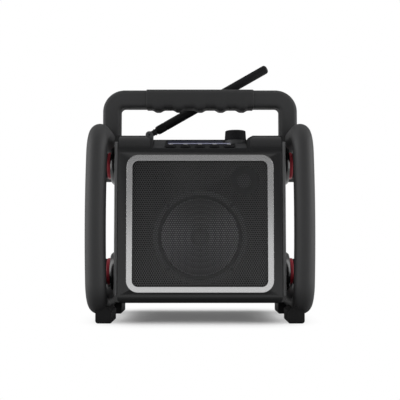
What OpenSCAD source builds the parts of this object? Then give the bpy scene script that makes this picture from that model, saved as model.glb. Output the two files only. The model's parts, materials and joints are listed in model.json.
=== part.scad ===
// Jobsite radio: a moulded housing carried between two tubular side guards, with a
// fixed handle over the top, a sloped control deck, a two-way speaker behind a
// perforated grille, a folding antenna, and a battery bay behind a rear door.
//
// Millimetres. X runs to the right of someone facing the front, Y to the rear and
// Z up. The origin is on the floor, under the middle of the radio.

/* [Housing] */
// Width of the rear shell
body_w = 226; // [222:1:227]
// Height of the housing
body_h = 220; // [216:1:222]
// Depth of the housing, from its front face to its rear face
body_d = 192; // [190:1:194]
// Distance of the front face in front of the middle
body_front = 99; // [98:0.5:100]
// Height of the underside above the floor
body_lift = 27; // [25:1:29]
// Step in from the rear shell to the front shell, on each side
bezel_step = 7; // [5:0.5:8]
// Depth of the front shell
bezel_d = 20; // [19:0.5:21]
// Wall thickness of the shells
wall = 3; // [2.6:0.1:3.2]

/* [Speaker] */
// Width of the silver trim frame
frame_w = 189.6; // [186:0.2:192]
// Height of the trim frame
frame_h = 177.1; // [174:0.1:179]
// Width of the trim frame's band
frame_band = 7.4; // [6.5:0.1:8]
// Distance from one grille hole to the next
grille_pitch = 6.6; // [6.4:0.1:9]
// Diameter of a grille hole
grille_hole = 4.6; // [3:0.1:5]
// Radius of the woofer's flange
woofer_r = 61.3; // [58:0.1:62]
// Radius of the tweeter's plate
tweeter_r = 18.8; // [17:0.1:19.5]

/* [Control deck] */
// Width of the deck's sloped floor
deck_w = 124.6; // [123:0.2:126]
// Height that the sloped floor climbs from front to rear
deck_rise = 20; // [19:0.5:21]
// Depth of the sloped floor, seen from above
deck_run = 61; // [60:0.5:62]
// Number of buttons
button_count = 5; // [3:1:5]
// Distance from one button to the next
button_pitch = 19.1; // [17:0.1:19.5]
// Width of a button
button_w = 12.6; // [11:0.1:13.5]
// Length of a button, up the slope
button_l = 14; // [12:0.5:15]
// How far a button can be pressed
button_travel = 1; // [0.6:0.1:1.2]
// Radius of the volume knob at its foot
knob_r = 14.2; // [12.5:0.1:14.3]
// Height of the volume knob
knob_h = 12.8; // [10:0.2:14]

/* [Antenna] */
// Length of the antenna from its pivot to its tip
antenna_len = 200.8; // [160:0.2:205]
// Radius of the antenna's rubber sleeve
antenna_r = 6.5; // [5:0.05:6.8]
// Angle of the resting antenna above level
antenna_angle = 29.9; // [10:0.1:60]

/* [Handle] */
// Height of the handle's top above the floor
handle_top = 322; // [315:1:335]
// Width of the handle across its legs
handle_w = 277; // [276.5:0.1:277.6]
// Thickness of the legs and of the crossbar, seen from the front
handle_t = 25; // [23:0.1:25]
// Depth of the handle, front to rear
handle_d = 28; // [26:1:30]
// Length of the rubber grip
grip_w = 153; // [130:1:165]
// Number of finger ribs under the grip
grip_ribs = 5; // [3:1:5]

/* [Guards] */
// Radius of the guard tube
guard_r = 13.7; // [13:0.1:14]
// Radius of the guard's bends, at the middle of the tube
guard_bend = 29; // [28:0.5:30]
// Height of the upper rail's centre
guard_top = 250.8; // [250:0.1:252]
// Height of the lower rail's centre
guard_low = 24; // [23:0.1:24.5]
// Distance of the front bar's centre in front of the middle
guard_front = 91; // [90:0.5:92]
// Distance of the front bar's centre from the middle plane, at half height
guard_out = 136; // [135.8:0.1:137]
// Radius of the front bar's outward bow
guard_bow = 3000; // [2500:50:3600]

/* [Battery bay] */
// Radius of a D cell
cell_r = 16.6; // [16:0.1:17]
// Length of a D cell
cell_l = 61.5; // [60:0.1:62]
// Rows of cells, one above another
cell_rows = 3; // [2:1:3]
// Width of the battery door
door_w = 150; // [148:1:152]
// Height of the battery door
door_h = 118; // [116:1:119]

/* [Hidden] */
$fn = 96;
eps = 0.01;
cut = 1; // how far a cutting tool runs past the face it opens

// The housing's faces
z_low = body_lift;
z_top = body_lift + body_h;
y_front = -body_front;
y_split = y_front + bezel_d;
y_back = y_front + body_d;
half_w = body_w/2;
bezel_half_w = half_w - bezel_step;
top_front_r = 25;
low_front_r = 10;
rear_r = 12;
edge_r = 6;

// The grille's opening and the baffle behind it
frame_z = z_low + 102.7;
frame_r = 15.5;
frame_proud = 1.5;
frame_seat = 2.5;
throat_w = frame_w - 2*frame_band;
throat_h = frame_h - 2*frame_band;
throat_r = frame_r - frame_band;
throat_wall = 2.5;
grille_t = 1;
grille_lip = 2;
y_seat = y_front + frame_seat;
y_grille = y_seat - grille_t;
y_baffle = y_front + 12;
baffle_t = 3;

// The speakers
woofer_z = z_low + 85;
cone_r = 50.4;
dust_cap_r = 12.4;
basket_hole_r = 56;
woofer_bolt_circle = 58.6;
woofer_bolt_angles = [45:90:315];
flange_t = 2;
magnet_r = 35;
y_magnet = y_baffle + 38;
tweeter_x = 58.1;
tweeter_z = z_low + 158.4;
dome_r = 8.8;
tweeter_hole_r = 14;

// The sloped deck: its own frame starts at the foot of the slope
deck_y = y_front + 1;
deck_z = z_top - deck_rise;
deck_angle = atan(deck_rise/deck_run);
deck_flare_z = z_top - 5.7;
deck_flare_w = 141.4;
deck_skin = 3;
inset_w = 92;
inset_near = 2;
inset_far = 61;
inset_d = 1;
board_screw_x = 49.5;
board_half_w = 53;
lens_near = 35.5;
lens_far = 59.5;
button_u = 14.7;
button_gap = 0.35;
button_rise = 3;
button_flange = 1;
flange_h = 1.2;
board_drop = 8;
knob_x = 48.3;
knob_y = -51;
knob_z = z_top - 3;
knob_top_r = knob_r - 0.8;
collar_r = 14;
collar_z = knob_z - 0.3;
shaft_r = 3;
encoder_h = 7;
encoder_z = collar_z - 2 - encoder_h;

// The antenna
antenna_x = -74.7;
antenna_y = 30;
pivot_z = z_top + 15.9;
post_r = 5.5;
post_d = 12;
fork_gap = 4.3;
tang_t = 4;
tang_r = 4.6;
pin_r = 1.5;
neck_r = 4.2;
socket_r = 7;
socket_h = 8;
neck_end = 18;

// The guards, their hubs and what stands between them and the housing
hub_y = 50;
hub_z = [66, 209];
hub_r = 18;
rear_hub_r = 14;
web_w = 22;
web_l = 38;
hub_x0 = 129;
hub_x1 = 143;
boss_r = 25;
boss_flare = 3;
boss_x = 119.5;
ring_r = 18;
ring_x = 124.8;
collar_x = hub_x0;
bar_end_z = [guard_low + guard_bend, guard_top - guard_bend];
mid_z = (bar_end_z[0] + bar_end_z[1])/2;
bow_centre_x = guard_out - guard_bow;
half_bar = (bar_end_z[1] - bar_end_z[0])/2;
bow_angle = asin(half_bar/guard_bow);
bar_end_x = bow_centre_x + guard_bow*cos(bow_angle);
rail_x = bar_end_x - guard_bend*sin(bow_angle);
rail_z = [bar_end_z[0] - guard_bend*cos(bow_angle), bar_end_z[1] + guard_bend*cos(bow_angle)];
bolt_r = 3;
bolt_head_r = 5;
bolt_head_h = 5;
bend_step = 0.2;
stub_top = 17;
stub_low = 14;

// The feet under the lower rails
foot_y = 59.75;
foot_l = 50.5;
foot_x0 = 115;
foot_x1 = 136;
foot_h = 15;
saddle_h = 24;
foot_screw_x = 126;
foot_screw_r = 2.5;
foot_head_r = 5;

// The battery bay and the sockets in the rear face
door_z = z_low + 69;
door_t = 3;
bay_w = 2*cell_l + 12;
cell_pitch = 34;
bay_h = cell_rows*cell_pitch + 2;
tray_wall = 2;
panel_z = z_low + 165;
panel_w = 110;
panel_h = 30;
panel_d = 5;
well_d = 12;
vent_count = 15;
vent_pitch = 7;

// ---- Shared shapes -------------------------------------------------------------

// A rectangle with round corners, centred
module rounded_rect(w, h, r) {
  square([w - 2*r, h], center = true);
  square([w, h - 2*r], center = true);
  for (sx = [-1, 1], sy = [-1, 1])
    translate([sx*(w/2 - r), sy*(h/2 - r)]) circle(r);
}

// A flat outline drawn in X and Z, given thickness along Y from y0 to y1
module along_y(y0, y1) {
  translate([0, y1, 0]) rotate([90, 0, 0]) linear_extrude(y1 - y0) children();
}

// A flat outline drawn in Y and Z, given thickness along X from x0 to x1
module along_x(x0, x1) {
  translate([x0, 0, 0]) rotate([90, 0, 90]) linear_extrude(x1 - x0) children();
}

// A rod along Y
module rod_y(r, y0, y1) {
  translate([0, y1, 0]) rotate([90, 0, 0]) cylinder(r = r, h = y1 - y0);
}

// A rod along X
module rod_x(r, x0, x1) {
  translate([x0, 0, 0]) rotate([0, 90, 0]) cylinder(r = r, h = x1 - x0);
}

// A turned part whose axis runs to the rear: the profile's x is radius, its y is Y
module turned_y() {
  rotate([-90, 0, 0]) rotate_extrude() children();
}

// What a round corner takes off a square one, with the material towards (sx, sy)
module corner_cut(x, y, sx, sy, r) {
  difference() {
    translate([sx > 0 ? x - cut : x - r, sy > 0 ? y - cut : y - r]) square(r + cut);
    translate([x + sx*r, y + sy*r]) circle(r);
  }
}

// Both sides: the right-hand one and its mirror image
module both_sides() {
  children();
  mirror([1, 0, 0]) children();
}

// ---- Housing -------------------------------------------------------------------

// The housing's outline from the side, shrunk by inset: x is Y, y is Z
module side_outline(inset) {
  y0 = y_front + inset;
  y1 = y_back - inset;
  z0 = z_low + inset;
  z1 = z_top - inset;
  difference() {
    translate([y0, z0]) square([y1 - y0, z1 - z0]);
    corner_cut(y0, z0, 1, 1, low_front_r - inset);
    corner_cut(y0, z1, 1, -1, top_front_r - inset);
    corner_cut(y1, z0, -1, 1, rear_r - inset);
    corner_cut(y1, z1, -1, -1, rear_r - inset);
  }
}

// The housing as a solid block of half width w, shrunk by inset
module block(w, inset) {
  intersection() {
    along_x(-w + inset, w - inset) side_outline(inset);
    translate([0, 0, (z_low + z_top)/2]) along_y(y_front - cut, y_back + cut)
      rounded_rect(2*(w - inset), body_h - 2*inset, edge_r - inset/2);
  }
}

// Everything of the housing between two planes across Y
module slice_y(y0, y1) {
  intersection() {
    translate([-body_w, y0, 0]) cube([2*body_w, y1 - y0, 2*body_h]);
    children();
  }
}

// The room that the control deck takes up: above the slope and between its flared
// walls, grown by skin on every side
module deck_room(skin) {
  low_w = deck_w/2 + skin;
  high_w = deck_flare_w/2 + skin;
  flare_z = deck_flare_z - skin*0.4;
  intersection() {
    along_y(y_front - cut, deck_y + deck_run + skin)
      polygon([
        [-low_w, z_low + body_h/2], [low_w, z_low + body_h/2],
        [low_w, flare_z], [high_w, z_top], [high_w, z_top + 2*cut],
        [-high_w, z_top + 2*cut], [-high_w, z_top], [-low_w, flare_z]
      ]);
    on_slope() translate([-body_w/2, -deck_run, -skin])
      cube([body_w, 3*deck_run, 2*deck_run]);
  }
}

// Puts its children in the slope's own frame: Y up the slope, Z out of it
module on_slope() {
  translate([0, deck_y, deck_z]) rotate([deck_angle, 0, 0]) children();
}

// The grille's clear opening, grown by grow
module throat_outline(grow) {
  rounded_rect(throat_w + 2*grow, throat_h + 2*grow, throat_r + grow);
}

// Where the screws join the shells: x and z
shell_screw_spots = [for (sx = [-1, 1], z = [z_low + 13, z_low + body_h/2, z_top - 22]) [sx*96, z]];

// Front shell: the bezel, its rounded brow, and the speaker baffle set back in it
module front_shell() {
  color("#232425")
  difference() {
    union() {
      slice_y(y_front - cut, y_split) difference() {
        block(bezel_half_w, 0);
        block(bezel_half_w, wall);
      }
      translate([0, 0, frame_z]) along_y(y_seat, y_baffle + baffle_t)
        throat_outline(throat_wall);
      for (s = shell_screw_spots)
        translate([s[0], 0, s[1]]) rod_y(5, y_front + wall - 0.5, y_split);
    }
    translate([0, 0, frame_z]) along_y(y_front - cut, y_seat)
      rounded_rect(frame_w, frame_h, frame_r);
    translate([0, 0, frame_z]) along_y(y_front - cut, y_baffle) throat_outline(0);
    translate([0, 0, woofer_z]) rod_y(basket_hole_r, y_front, y_split);
    translate([tweeter_x, 0, tweeter_z]) rod_y(tweeter_hole_r, y_front, y_split);
    for (s = shell_screw_spots)
      translate([s[0], 0, s[1]]) rod_y(1.5, y_front + wall + 3, y_split + cut);
    for (a = woofer_bolt_angles)
      translate([woofer_bolt_circle*cos(a), 0, woofer_z + woofer_bolt_circle*sin(a)])
        rod_y(1.2, y_baffle - 1, y_split);
    deck_room(deck_skin);
  }
}

// Gasket that lines the front shell's walls where the shells meet
module shell_gasket() {
  color("#101010")
  difference() {
    slice_y(y_split - 3, y_split) block(bezel_half_w, wall);
    slice_y(y_split - 4, y_split + 1) block(bezel_half_w, wall + 2);
    deck_room(deck_skin);
  }
}

// Rear shell: the main box, with the bosses that carry the guards, the well of the
// battery bay, the socket recess and the heat sink's vents
module rear_shell() {
  color("#1d1e1f")
  difference() {
    union() {
      difference() {
        slice_y(y_split, y_back) block(half_w, 0);
        slice_y(y_split + wall, y_back) block(half_w, wall);
        slice_y(y_split - cut, y_split + wall + cut) block(bezel_half_w, wall);
      }
      both_sides() for (sy = [-1, 1], z = hub_z)
        translate([0, sy*hub_y, z]) guard_boss();
      for (s = shell_screw_spots)
        translate([s[0], 0, s[1]]) rod_y(6, y_split, y_back - 1);
      // The battery bay's well behind the door
      translate([0, 0, door_z]) along_y(y_back - 9, y_back - wall + eps)
        rounded_rect(door_w + 10, door_h + 6, 6);
      translate([0, 0, panel_z]) along_y(y_back - 8, y_back - wall + eps)
        rounded_rect(panel_w + 6, panel_h + 4, 5);
      // Ring under the antenna's post
      translate([antenna_x, antenna_y, z_top - wall - 3]) cylinder(r = 12, h = wall + 2);
    }
    translate([0, 0, door_z]) along_y(y_back - door_t - 0.2, y_back + cut)
      rounded_rect(door_w, door_h, 4);
    // The hinge's corners of both recesses are square
    translate([-door_w/2, y_back - door_t - 0.2, door_z - door_h/2])
      cube([door_w, door_t + 0.2 + cut, 5]);
    translate([-panel_w/2, y_back - panel_d, panel_z + panel_h/2 - 5])
      cube([panel_w, panel_d + cut, 5]);
    translate([0, 0, door_z]) along_y(y_back - well_d, y_back + cut)
      rounded_rect(bay_w + 2*tray_wall, bay_h + 2*tray_wall, 2);
    translate([0, 0, panel_z]) along_y(y_back - panel_d, y_back + cut)
      rounded_rect(panel_w, panel_h, 4);
    translate([0, 0, panel_z]) along_y(y_back - well_d, y_back + cut)
      rounded_rect(panel_w - 12, panel_h - 8, 2);
    for (s = shell_screw_spots) translate([s[0], 0, s[1]]) {
      rod_y(2, y_split - cut, y_back);
      rod_y(4, y_split + 14, y_back + cut);
    }
    both_sides() for (sy = [-1, 1], z = hub_z)
      translate([0, sy*hub_y, z]) rod_x(bolt_r + 0.2, half_w - 14, boss_x + cut);
    for (i = [0:vent_count - 1])
      translate([(i - (vent_count - 1)/2)*vent_pitch, 0, z_top - 25])
        along_y(y_back - well_d, y_back + cut) rounded_rect(3, 16, 1.4);
    translate([antenna_x, antenna_y, z_top - socket_h]) cylinder(r = socket_r, h = socket_h + cut);
    // Groove for the door's barrel, with a hole at each end for its pin
    translate([0, hinge_y, hinge_z]) {
      rod_x(hinge_r + 0.3, -door_w/2, door_w/2);
      rod_x(hinge_pin_r, -door_w/2 - 4, door_w/2 + 4);
    }
    // Slot for the latch's neck
    translate([-latch_neck_w/2 - 0.2, y_back - wall - cut, door_top + 5])
      cube([latch_neck_w + 0.4, wall + 2*cut, 9]);
    translate([0, cover_hinge_y, cover_hinge_z])
      rod_x(cover_nub_r + 0.08, -panel_w/2 - 2.2, panel_w/2 + 2.2);
    deck_room(deck_skin);
  }
}

// A round boss on the housing's side that a guard's standoff seats on
module guard_boss() {
  rotate([0, 90, 0]) translate([0, 0, half_w - 12]) rotate_extrude()
    polygon([
      [0, 0], [9, 0], [9, 12 - wall], [boss_r + boss_flare, 12 - wall],
      [boss_r + boss_flare, 12.5], [boss_r, boss_x - half_w + 10.5],
      [boss_r - 1.5, boss_x - half_w + 12], [0, boss_x - half_w + 12]
    ]);
}

// Screws that join the shells from the rear
module shell_screws() {
  color("#8a8c8e")
  for (s = shell_screw_spots) translate([s[0], 0, s[1]]) {
    rod_y(1.5, y_front + wall + 5, y_split + 14);
    difference() {
      rod_y(3.6, y_split + 14, y_split + 17);
      rod_y(1.2, y_split + 15.5, y_split + 18);
    }
  }
}

// Silver trim frame, rebated behind for the grille's edge
module trim_frame() {
  color("#a9abad")
  translate([0, 0, frame_z]) difference() {
    along_y(y_front - frame_proud, y_seat) rounded_rect(frame_w, frame_h, frame_r);
    along_y(y_front - frame_proud - cut, y_seat + cut) throat_outline(0);
    along_y(y_grille, y_seat + cut) throat_outline(grille_lip);
    // A narrow flat chamfer round the outside of the face
    along_y(y_front - frame_proud - cut, y_front - frame_proud + 0.5) difference() {
      rounded_rect(frame_w + 4, frame_h + 4, frame_r + 2);
      rounded_rect(frame_w - 1.2, frame_h - 1.2, frame_r - 0.6);
    }
  }
}

// Perforated steel grille: staggered rows of round holes inside a plain border
module grille() {
  row_step = grille_pitch*sqrt(3)/2;
  rows = floor((throat_h - 8)/2/row_step);
  cols = floor((throat_w - 8)/2/grille_pitch);
  color("#17181a")
  translate([0, 0, frame_z]) along_y(y_grille, y_grille + grille_t) difference() {
    throat_outline(grille_lip);
    for (j = [-rows:rows]) let (odd = abs(j) % 2)
      for (i = [-cols:cols - odd])
        translate([(i + odd/2)*grille_pitch, j*row_step]) circle(grille_hole/2);
  }
}

// ---- Speakers ------------------------------------------------------------------

// Woofer's pressed basket: flange, windowed bowl and back plate
module woofer_basket() {
  color("#2a2b2d")
  translate([0, 0, woofer_z]) difference() {
    turned_y() polygon([
      [basket_hole_r - 1, y_baffle - flange_t], [woofer_r, y_baffle - flange_t],
      [woofer_r, y_baffle], [basket_hole_r - 0.5, y_baffle],
      [31, y_magnet - 2], [31, y_magnet], [16, y_magnet], [16, y_magnet - 1.5],
      [29.5, y_magnet - 1.5], [basket_hole_r - 3.5, y_baffle - 0.5]
    ]);
    for (a = [0:60:300]) rotate([0, a, 0])
      translate([-11, y_baffle + 8, 32]) cube([22, 20, 30]);
    for (a = woofer_bolt_angles)
      translate([woofer_bolt_circle*cos(a), 0, woofer_bolt_circle*sin(a)])
        rod_y(1.6, y_baffle - 4, y_baffle + cut);
  }
}

// Rubber half-roll between cone and basket
module woofer_surround() {
  roll_r = (basket_hole_r - 1 - cone_r)/2;
  color("#19191a")
  translate([0, 0, woofer_z]) turned_y() translate([cone_r + roll_r, y_baffle - flange_t])
    difference() {
      circle(roll_r, $fn = 32);
      circle(roll_r - 0.8, $fn = 32);
      translate([-roll_r - 1, 0]) square([2*roll_r + 2, roll_r + 1]);
    }
}

// Paper cone with the voice coil's former
module woofer_cone() {
  neck_y = y_baffle + 20;
  color("#2c2d2f")
  translate([0, 0, woofer_z]) turned_y() polygon([
    [cone_r, y_baffle - flange_t], [cone_r, y_baffle - flange_t + 1],
    [dust_cap_r + 0.8, neck_y], [dust_cap_r + 0.8, y_magnet + 4],
    [dust_cap_r, y_magnet + 4], [dust_cap_r, neck_y - 0.6],
    [cone_r - 1.5, y_baffle - flange_t]
  ]);
}

// Domed cap over the voice coil
module woofer_dust_cap() {
  cap_sphere_r = 16;
  rim_y = y_baffle + 19.4;
  centre_y = rim_y + sqrt(pow(cap_sphere_r, 2) - pow(dust_cap_r, 2));
  color("#1b1c1d")
  translate([0, 0, woofer_z]) difference() {
    translate([0, centre_y, 0]) sphere(cap_sphere_r);
    translate([0, centre_y, 0]) sphere(cap_sphere_r - 0.8);
    translate([-20, rim_y, -20]) cube(40);
  }
}

// Ferrite ring between two steel plates, on the back of the basket
module woofer_magnet() {
  gap_r = dust_cap_r + 1.4;
  color("#4a4b4d")
  translate([0, 0, woofer_z]) turned_y() polygon([
    [gap_r, y_magnet], [30, y_magnet], [30, y_magnet + 5], [magnet_r, y_magnet + 5],
    [magnet_r, y_magnet + 18], [30, y_magnet + 18], [30, y_magnet + 22],
    [0, y_magnet + 22], [0, y_magnet], [dust_cap_r - 0.6, y_magnet],
    [dust_cap_r - 0.6, y_magnet + 16], [gap_r, y_magnet + 16]
  ]);
}

// Four screws through the woofer's flange
module woofer_screws() {
  color("#8a8c8e")
  for (a = woofer_bolt_angles)
    translate([woofer_bolt_circle*cos(a), 0, woofer_z + woofer_bolt_circle*sin(a)]) {
      rod_y(1.2, y_baffle - flange_t, y_baffle + baffle_t + 4);
      turned_y() polygon([
        [0, y_baffle - flange_t - 1.4], [1.2, y_baffle - flange_t - 1.4],
        [2.4, y_baffle - flange_t - 0.4], [2.4, y_baffle - flange_t], [0, y_baffle - flange_t]
      ]);
    }
}

// Tweeter's plate, with a shallow horn round the dome
module tweeter_plate() {
  color("#222325")
  translate([tweeter_x, 0, tweeter_z]) turned_y() polygon([
    [dome_r + 0.4, y_baffle - 1], [dome_r + 4, y_baffle - 2.6], [tweeter_r - 1, y_baffle - 3],
    [tweeter_r, y_baffle - 2], [tweeter_r, y_baffle], [13.5, y_baffle],
    [13.5, y_baffle + 4], [dome_r + 0.4, y_baffle + 4]
  ]);
}

// Soft dome of the tweeter
module tweeter_dome() {
  dome_sphere_r = 10.5;
  rim_y = y_baffle + 1;
  centre_y = rim_y + sqrt(pow(dome_sphere_r, 2) - pow(dome_r, 2));
  color("#3a3b3d")
  translate([tweeter_x, 0, tweeter_z]) difference() {
    union() {
      difference() {
        translate([0, centre_y, 0]) sphere(dome_sphere_r);
        translate([-20, rim_y, -20]) cube(40);
      }
      rod_y(dome_r + 0.4, rim_y - 0.6, rim_y + 0.4);
    }
    translate([0, centre_y, 0]) sphere(dome_sphere_r - 0.6);
  }
}

// Tweeter's magnet in its cup
module tweeter_magnet() {
  color("#4a4b4d")
  translate([tweeter_x, 0, tweeter_z]) rod_y(13, y_baffle + 4, y_baffle + 18);
}

// ---- Control deck --------------------------------------------------------------

// A plate on the slope: from u0 to u1 up the slope, x0 to x1, z0 to z1 out of it
module slope_plate(x0, x1, u0, u1, z0, z1, r) {
  on_slope() translate([(x0 + x1)/2, (u0 + u1)/2, z0])
    linear_extrude(z1 - z0) rounded_rect(x1 - x0, u1 - u0, r);
}

// Places of the buttons across the deck
button_x = [for (i = [0:button_count - 1]) (i - (button_count - 1)/2)*button_pitch];
lens_x0 = -inset_w/2 + 2;
lens_x1 = knob_x - collar_r - 3;

// Control deck: a moulded tray with a sloped floor and flared side walls that drops
// into both shells
module control_deck() {
  color("#3c3e41")
  difference() {
    union() {
      difference() {
        intersection() {
          block(half_w, 0);
          deck_room(deck_skin);
        }
        deck_room(0);
      }
      for (sx = [-1, 1])
        slope_plate(sx*board_screw_x - 3, sx*board_screw_x + 3, button_u - 3, button_u + 3,
          -board_drop, -deck_skin + eps, 2.9);
    }
    difference() {
      slope_plate(-inset_w/2, inset_w/2, inset_near, inset_far, -inset_d, 2*cut, 2);
      translate([knob_x, knob_y, z_top - 20]) cylinder(r = collar_r + 2, h = 30);
    }
    slope_plate(lens_x0, lens_x1, lens_near, lens_far, -inset_d - 1.2, cut, 1.5);
    slope_plate(lens_x0 + 2, lens_x1 - 2, lens_near + 2, lens_far - 2, -deck_skin - cut, cut, 1);
    for (x = button_x)
      slope_plate(x - button_w/2 - button_gap, x + button_w/2 + button_gap,
        button_u - button_l/2 - button_gap, button_u + button_l/2 + button_gap,
        -deck_skin - cut, cut, 3.2);
    translate([knob_x, knob_y, z_top - 20]) cylinder(r = collar_r, h = 30);
    translate([knob_x, knob_y, collar_z]) cylinder(r = collar_r + 0.7, h = 10);
  }
}

// Tinted window over the display
module display_lens() {
  color("#8fa0b8")
  slope_plate(lens_x0, lens_x1, lens_near, lens_far, -inset_d - 1.2, -0.4, 1.5);
}

// Display under the window
module lcd_module() {
  color("#55606e")
  slope_plate(lens_x0 + 1, lens_x1 - 1, lens_near + 0.5, lens_far - 0.5,
    -deck_skin - 4, -deck_skin, 1);
}

// Board under the buttons, with a tact switch for each
module button_board() {
  color("#1f5a34")
  slope_plate(-board_half_w, board_half_w, button_u - 9, button_u + 9,
    -board_drop - 1.6, -board_drop, 1);
  color("#777a7d")
  for (x = button_x)
    slope_plate(x - 3, x + 3, button_u - 3, button_u + 3, -board_drop, -board_drop + 2.4, 0.5);
}

// One button: a domed cap on a flange that holds it in the deck, with a plunger
module button_at(x) {
  cap_sphere_r = 13.2;
  flange_z = -deck_skin - 0.1;
  color("#1b1c1e") union() {
    on_slope() intersection() {
      translate([x, button_u, flange_z - eps]) linear_extrude(button_rise + 5)
        rounded_rect(button_w, button_l, 3);
      translate([x, button_u, button_rise - cap_sphere_r]) sphere(cap_sphere_r);
    }
    slope_plate(x - button_w/2 - button_flange, x + button_w/2 + button_flange,
      button_u - button_l/2 - button_flange, button_u + button_l/2 + button_flange,
      flange_z - flange_h, flange_z, 3);
    on_slope() translate([x, button_u, -board_drop + 2.4 + button_travel + 0.1])
      cylinder(r = 1.5, h = 1);
  }
}

module button_1() { button_at(button_x[0]); }
module button_2() { button_at(button_x[1]); }
module button_3() { button_at(button_x[2]); }
module button_4() { button_at(button_x[3]); }
module button_5() { button_at(button_x[4]); }

// Volume knob, hollow beneath for the encoder's nut
module volume_knob() {
  top_round = 1.4;
  color("#1a1a1b")
  translate([knob_x, knob_y, knob_z]) rotate_extrude() difference() {
    union() {
      polygon([
        [0, 0], [knob_r, 0], [knob_top_r + 0.1, knob_h - top_round],
        [knob_top_r - top_round, knob_h - top_round], [knob_top_r - top_round, knob_h], [0, knob_h]
      ]);
      translate([knob_top_r + 0.1 - top_round, knob_h - top_round]) circle(top_round);
    }
    translate([0, -1]) square([shaft_r, knob_h - 1]);
    translate([0, -1]) square([8, 4]);
  }
}

// Light collar that the knob turns on
module knob_collar() {
  color("#9a9c9f")
  translate([knob_x, knob_y, 0]) difference() {
    translate([0, 0, z_top - 15]) cylinder(r = collar_r, h = collar_z - z_top + 15);
    translate([0, 0, z_top - 16]) cylinder(r = 10, h = encoder_z + encoder_h - z_top + 16);
    translate([0, 0, z_top - 16]) cylinder(r = 4.6, h = 20);
  }
}

// Encoder with its threaded bush, nut and small board, hung from the collar's top
module rotary_encoder() {
  color("#7d7f82")
  translate([knob_x, knob_y, 0]) difference() {
    union() {
      translate([-6, -6.5, encoder_z]) cube([12, 13, encoder_h]);
      translate([0, 0, encoder_z]) cylinder(r = 4.5, h = collar_z + 1.6 - encoder_z);
      translate([0, 0, collar_z]) cylinder(r = 6.5, h = 1.6, $fn = 6);
      translate([-6.5, -6.5, encoder_z - 1.6]) cube([13, 13, 1.6]);
    }
    translate([0, 0, encoder_z + 2]) cylinder(r = shaft_r + 0.05, h = 30);
  }
}

// Encoder's shaft, pressed into the knob
module encoder_shaft() {
  shaft_z = encoder_z + 2.2;
  color("#b5b7b9")
  translate([knob_x, knob_y, shaft_z]) cylinder(r = shaft_r, h = knob_z + knob_h - 2 - shaft_z);
}

// ---- Antenna -------------------------------------------------------------------

// Bush in the housing's roof that the antenna's post turns in
module antenna_socket() {
  color("#5d5f62")
  translate([antenna_x, antenna_y, z_top]) difference() {
    union() {
      translate([0, 0, -socket_h]) cylinder(r = socket_r, h = socket_h);
      translate([0, 0, -9.5]) cylinder(r = 11, h = 3.5);
    }
    translate([0, 0, -12]) cylinder(r = neck_r + 0.05, h = 14);
  }
}

// Swivel post: a round-topped fork on a stem that turns in the socket
module antenna_base() {
  color("#a3a5a8")
  difference() {
    union() {
      translate([antenna_x, 0, pivot_z]) rod_y(post_r, antenna_y - post_d/2, antenna_y + post_d/2);
      translate([antenna_x - post_r, antenna_y - post_d/2, z_top + 0.3])
        cube([2*post_r, post_d, pivot_z - z_top - 0.3]);
      translate([antenna_x, antenna_y, z_top + 0.3]) cylinder(r = 8, h = 2.2);
      translate([antenna_x, antenna_y, z_top - 10]) cylinder(r = neck_r, h = 12);
      translate([antenna_x, antenna_y, z_top - 12]) cylinder(r = 6, h = 2.4);
    }
    translate([antenna_x - 12, antenna_y - fork_gap/2, pivot_z - 6.5]) cube([24, fork_gap, 20]);
    translate([antenna_x, 0, pivot_z]) rod_y(pin_r, antenna_y - 10, antenna_y + 10);
  }
}

// Pin across the fork
module antenna_pin() {
  color("#b5b7b9")
  translate([antenna_x, 0, pivot_z]) rod_y(pin_r, antenna_y - post_d/2, antenna_y + post_d/2);
}

// The antenna's own frame: X runs along the rod from the pivot
module on_antenna() {
  translate([antenna_x, antenna_y, pivot_z]) rotate([0, -antenna_angle, 0]) children();
}

// Metal neck with the flat eye that turns on the pin
module antenna_neck() {
  color("#2b2c2e")
  on_antenna() difference() {
    union() {
      rod_y(tang_r, -tang_t/2, tang_t/2);
      translate([0, -tang_t/2, -tang_r + 0.6]) cube([9, tang_t, 2*tang_r - 1.2]);
      rod_x(neck_r, 7.5, neck_end + 14);
      rod_x(neck_r + 0.8, 8.5, 10.5);
    }
    rod_y(pin_r + 0.05, -5, 5);
  }
}

// Rubber sleeve over the whip, with a round tip
module antenna_sleeve() {
  color("#191a1b")
  on_antenna() difference() {
    rotate([0, 90, 0]) rotate_extrude() union() {
      polygon([
        [0, neck_end - 6], [neck_r + 0.8, neck_end - 6], [antenna_r - 0.4, neck_end - 4.5],
        [antenna_r, neck_end], [antenna_r, antenna_len - 4], [antenna_r - 4, antenna_len - 4],
        [antenna_r - 4, antenna_len], [0, antenna_len]
      ]);
      translate([antenna_r - 4, antenna_len - 4]) intersection() {
        circle(4, $fn = 48);
        square(5);
      }
    }
    rod_x(neck_r, neck_end - 8, neck_end + 14);
  }
}

// ---- Handle --------------------------------------------------------------------

handle_r = 6;
handle_bend = 6;
leg_x = handle_w/2 - handle_t/2;
bend_z = handle_top - handle_t - handle_bend;
bar_z = handle_top - handle_t/2;
leg_foot_z = rail_z[1] - 8;
grip_proud = 1.3;
handle_bolt_y = 8;

// The handle's section, with an optional growth
module handle_section(grow) {
  rounded_rect(handle_t + 2*grow, handle_d + 2*grow, handle_r + grow);
}

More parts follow.
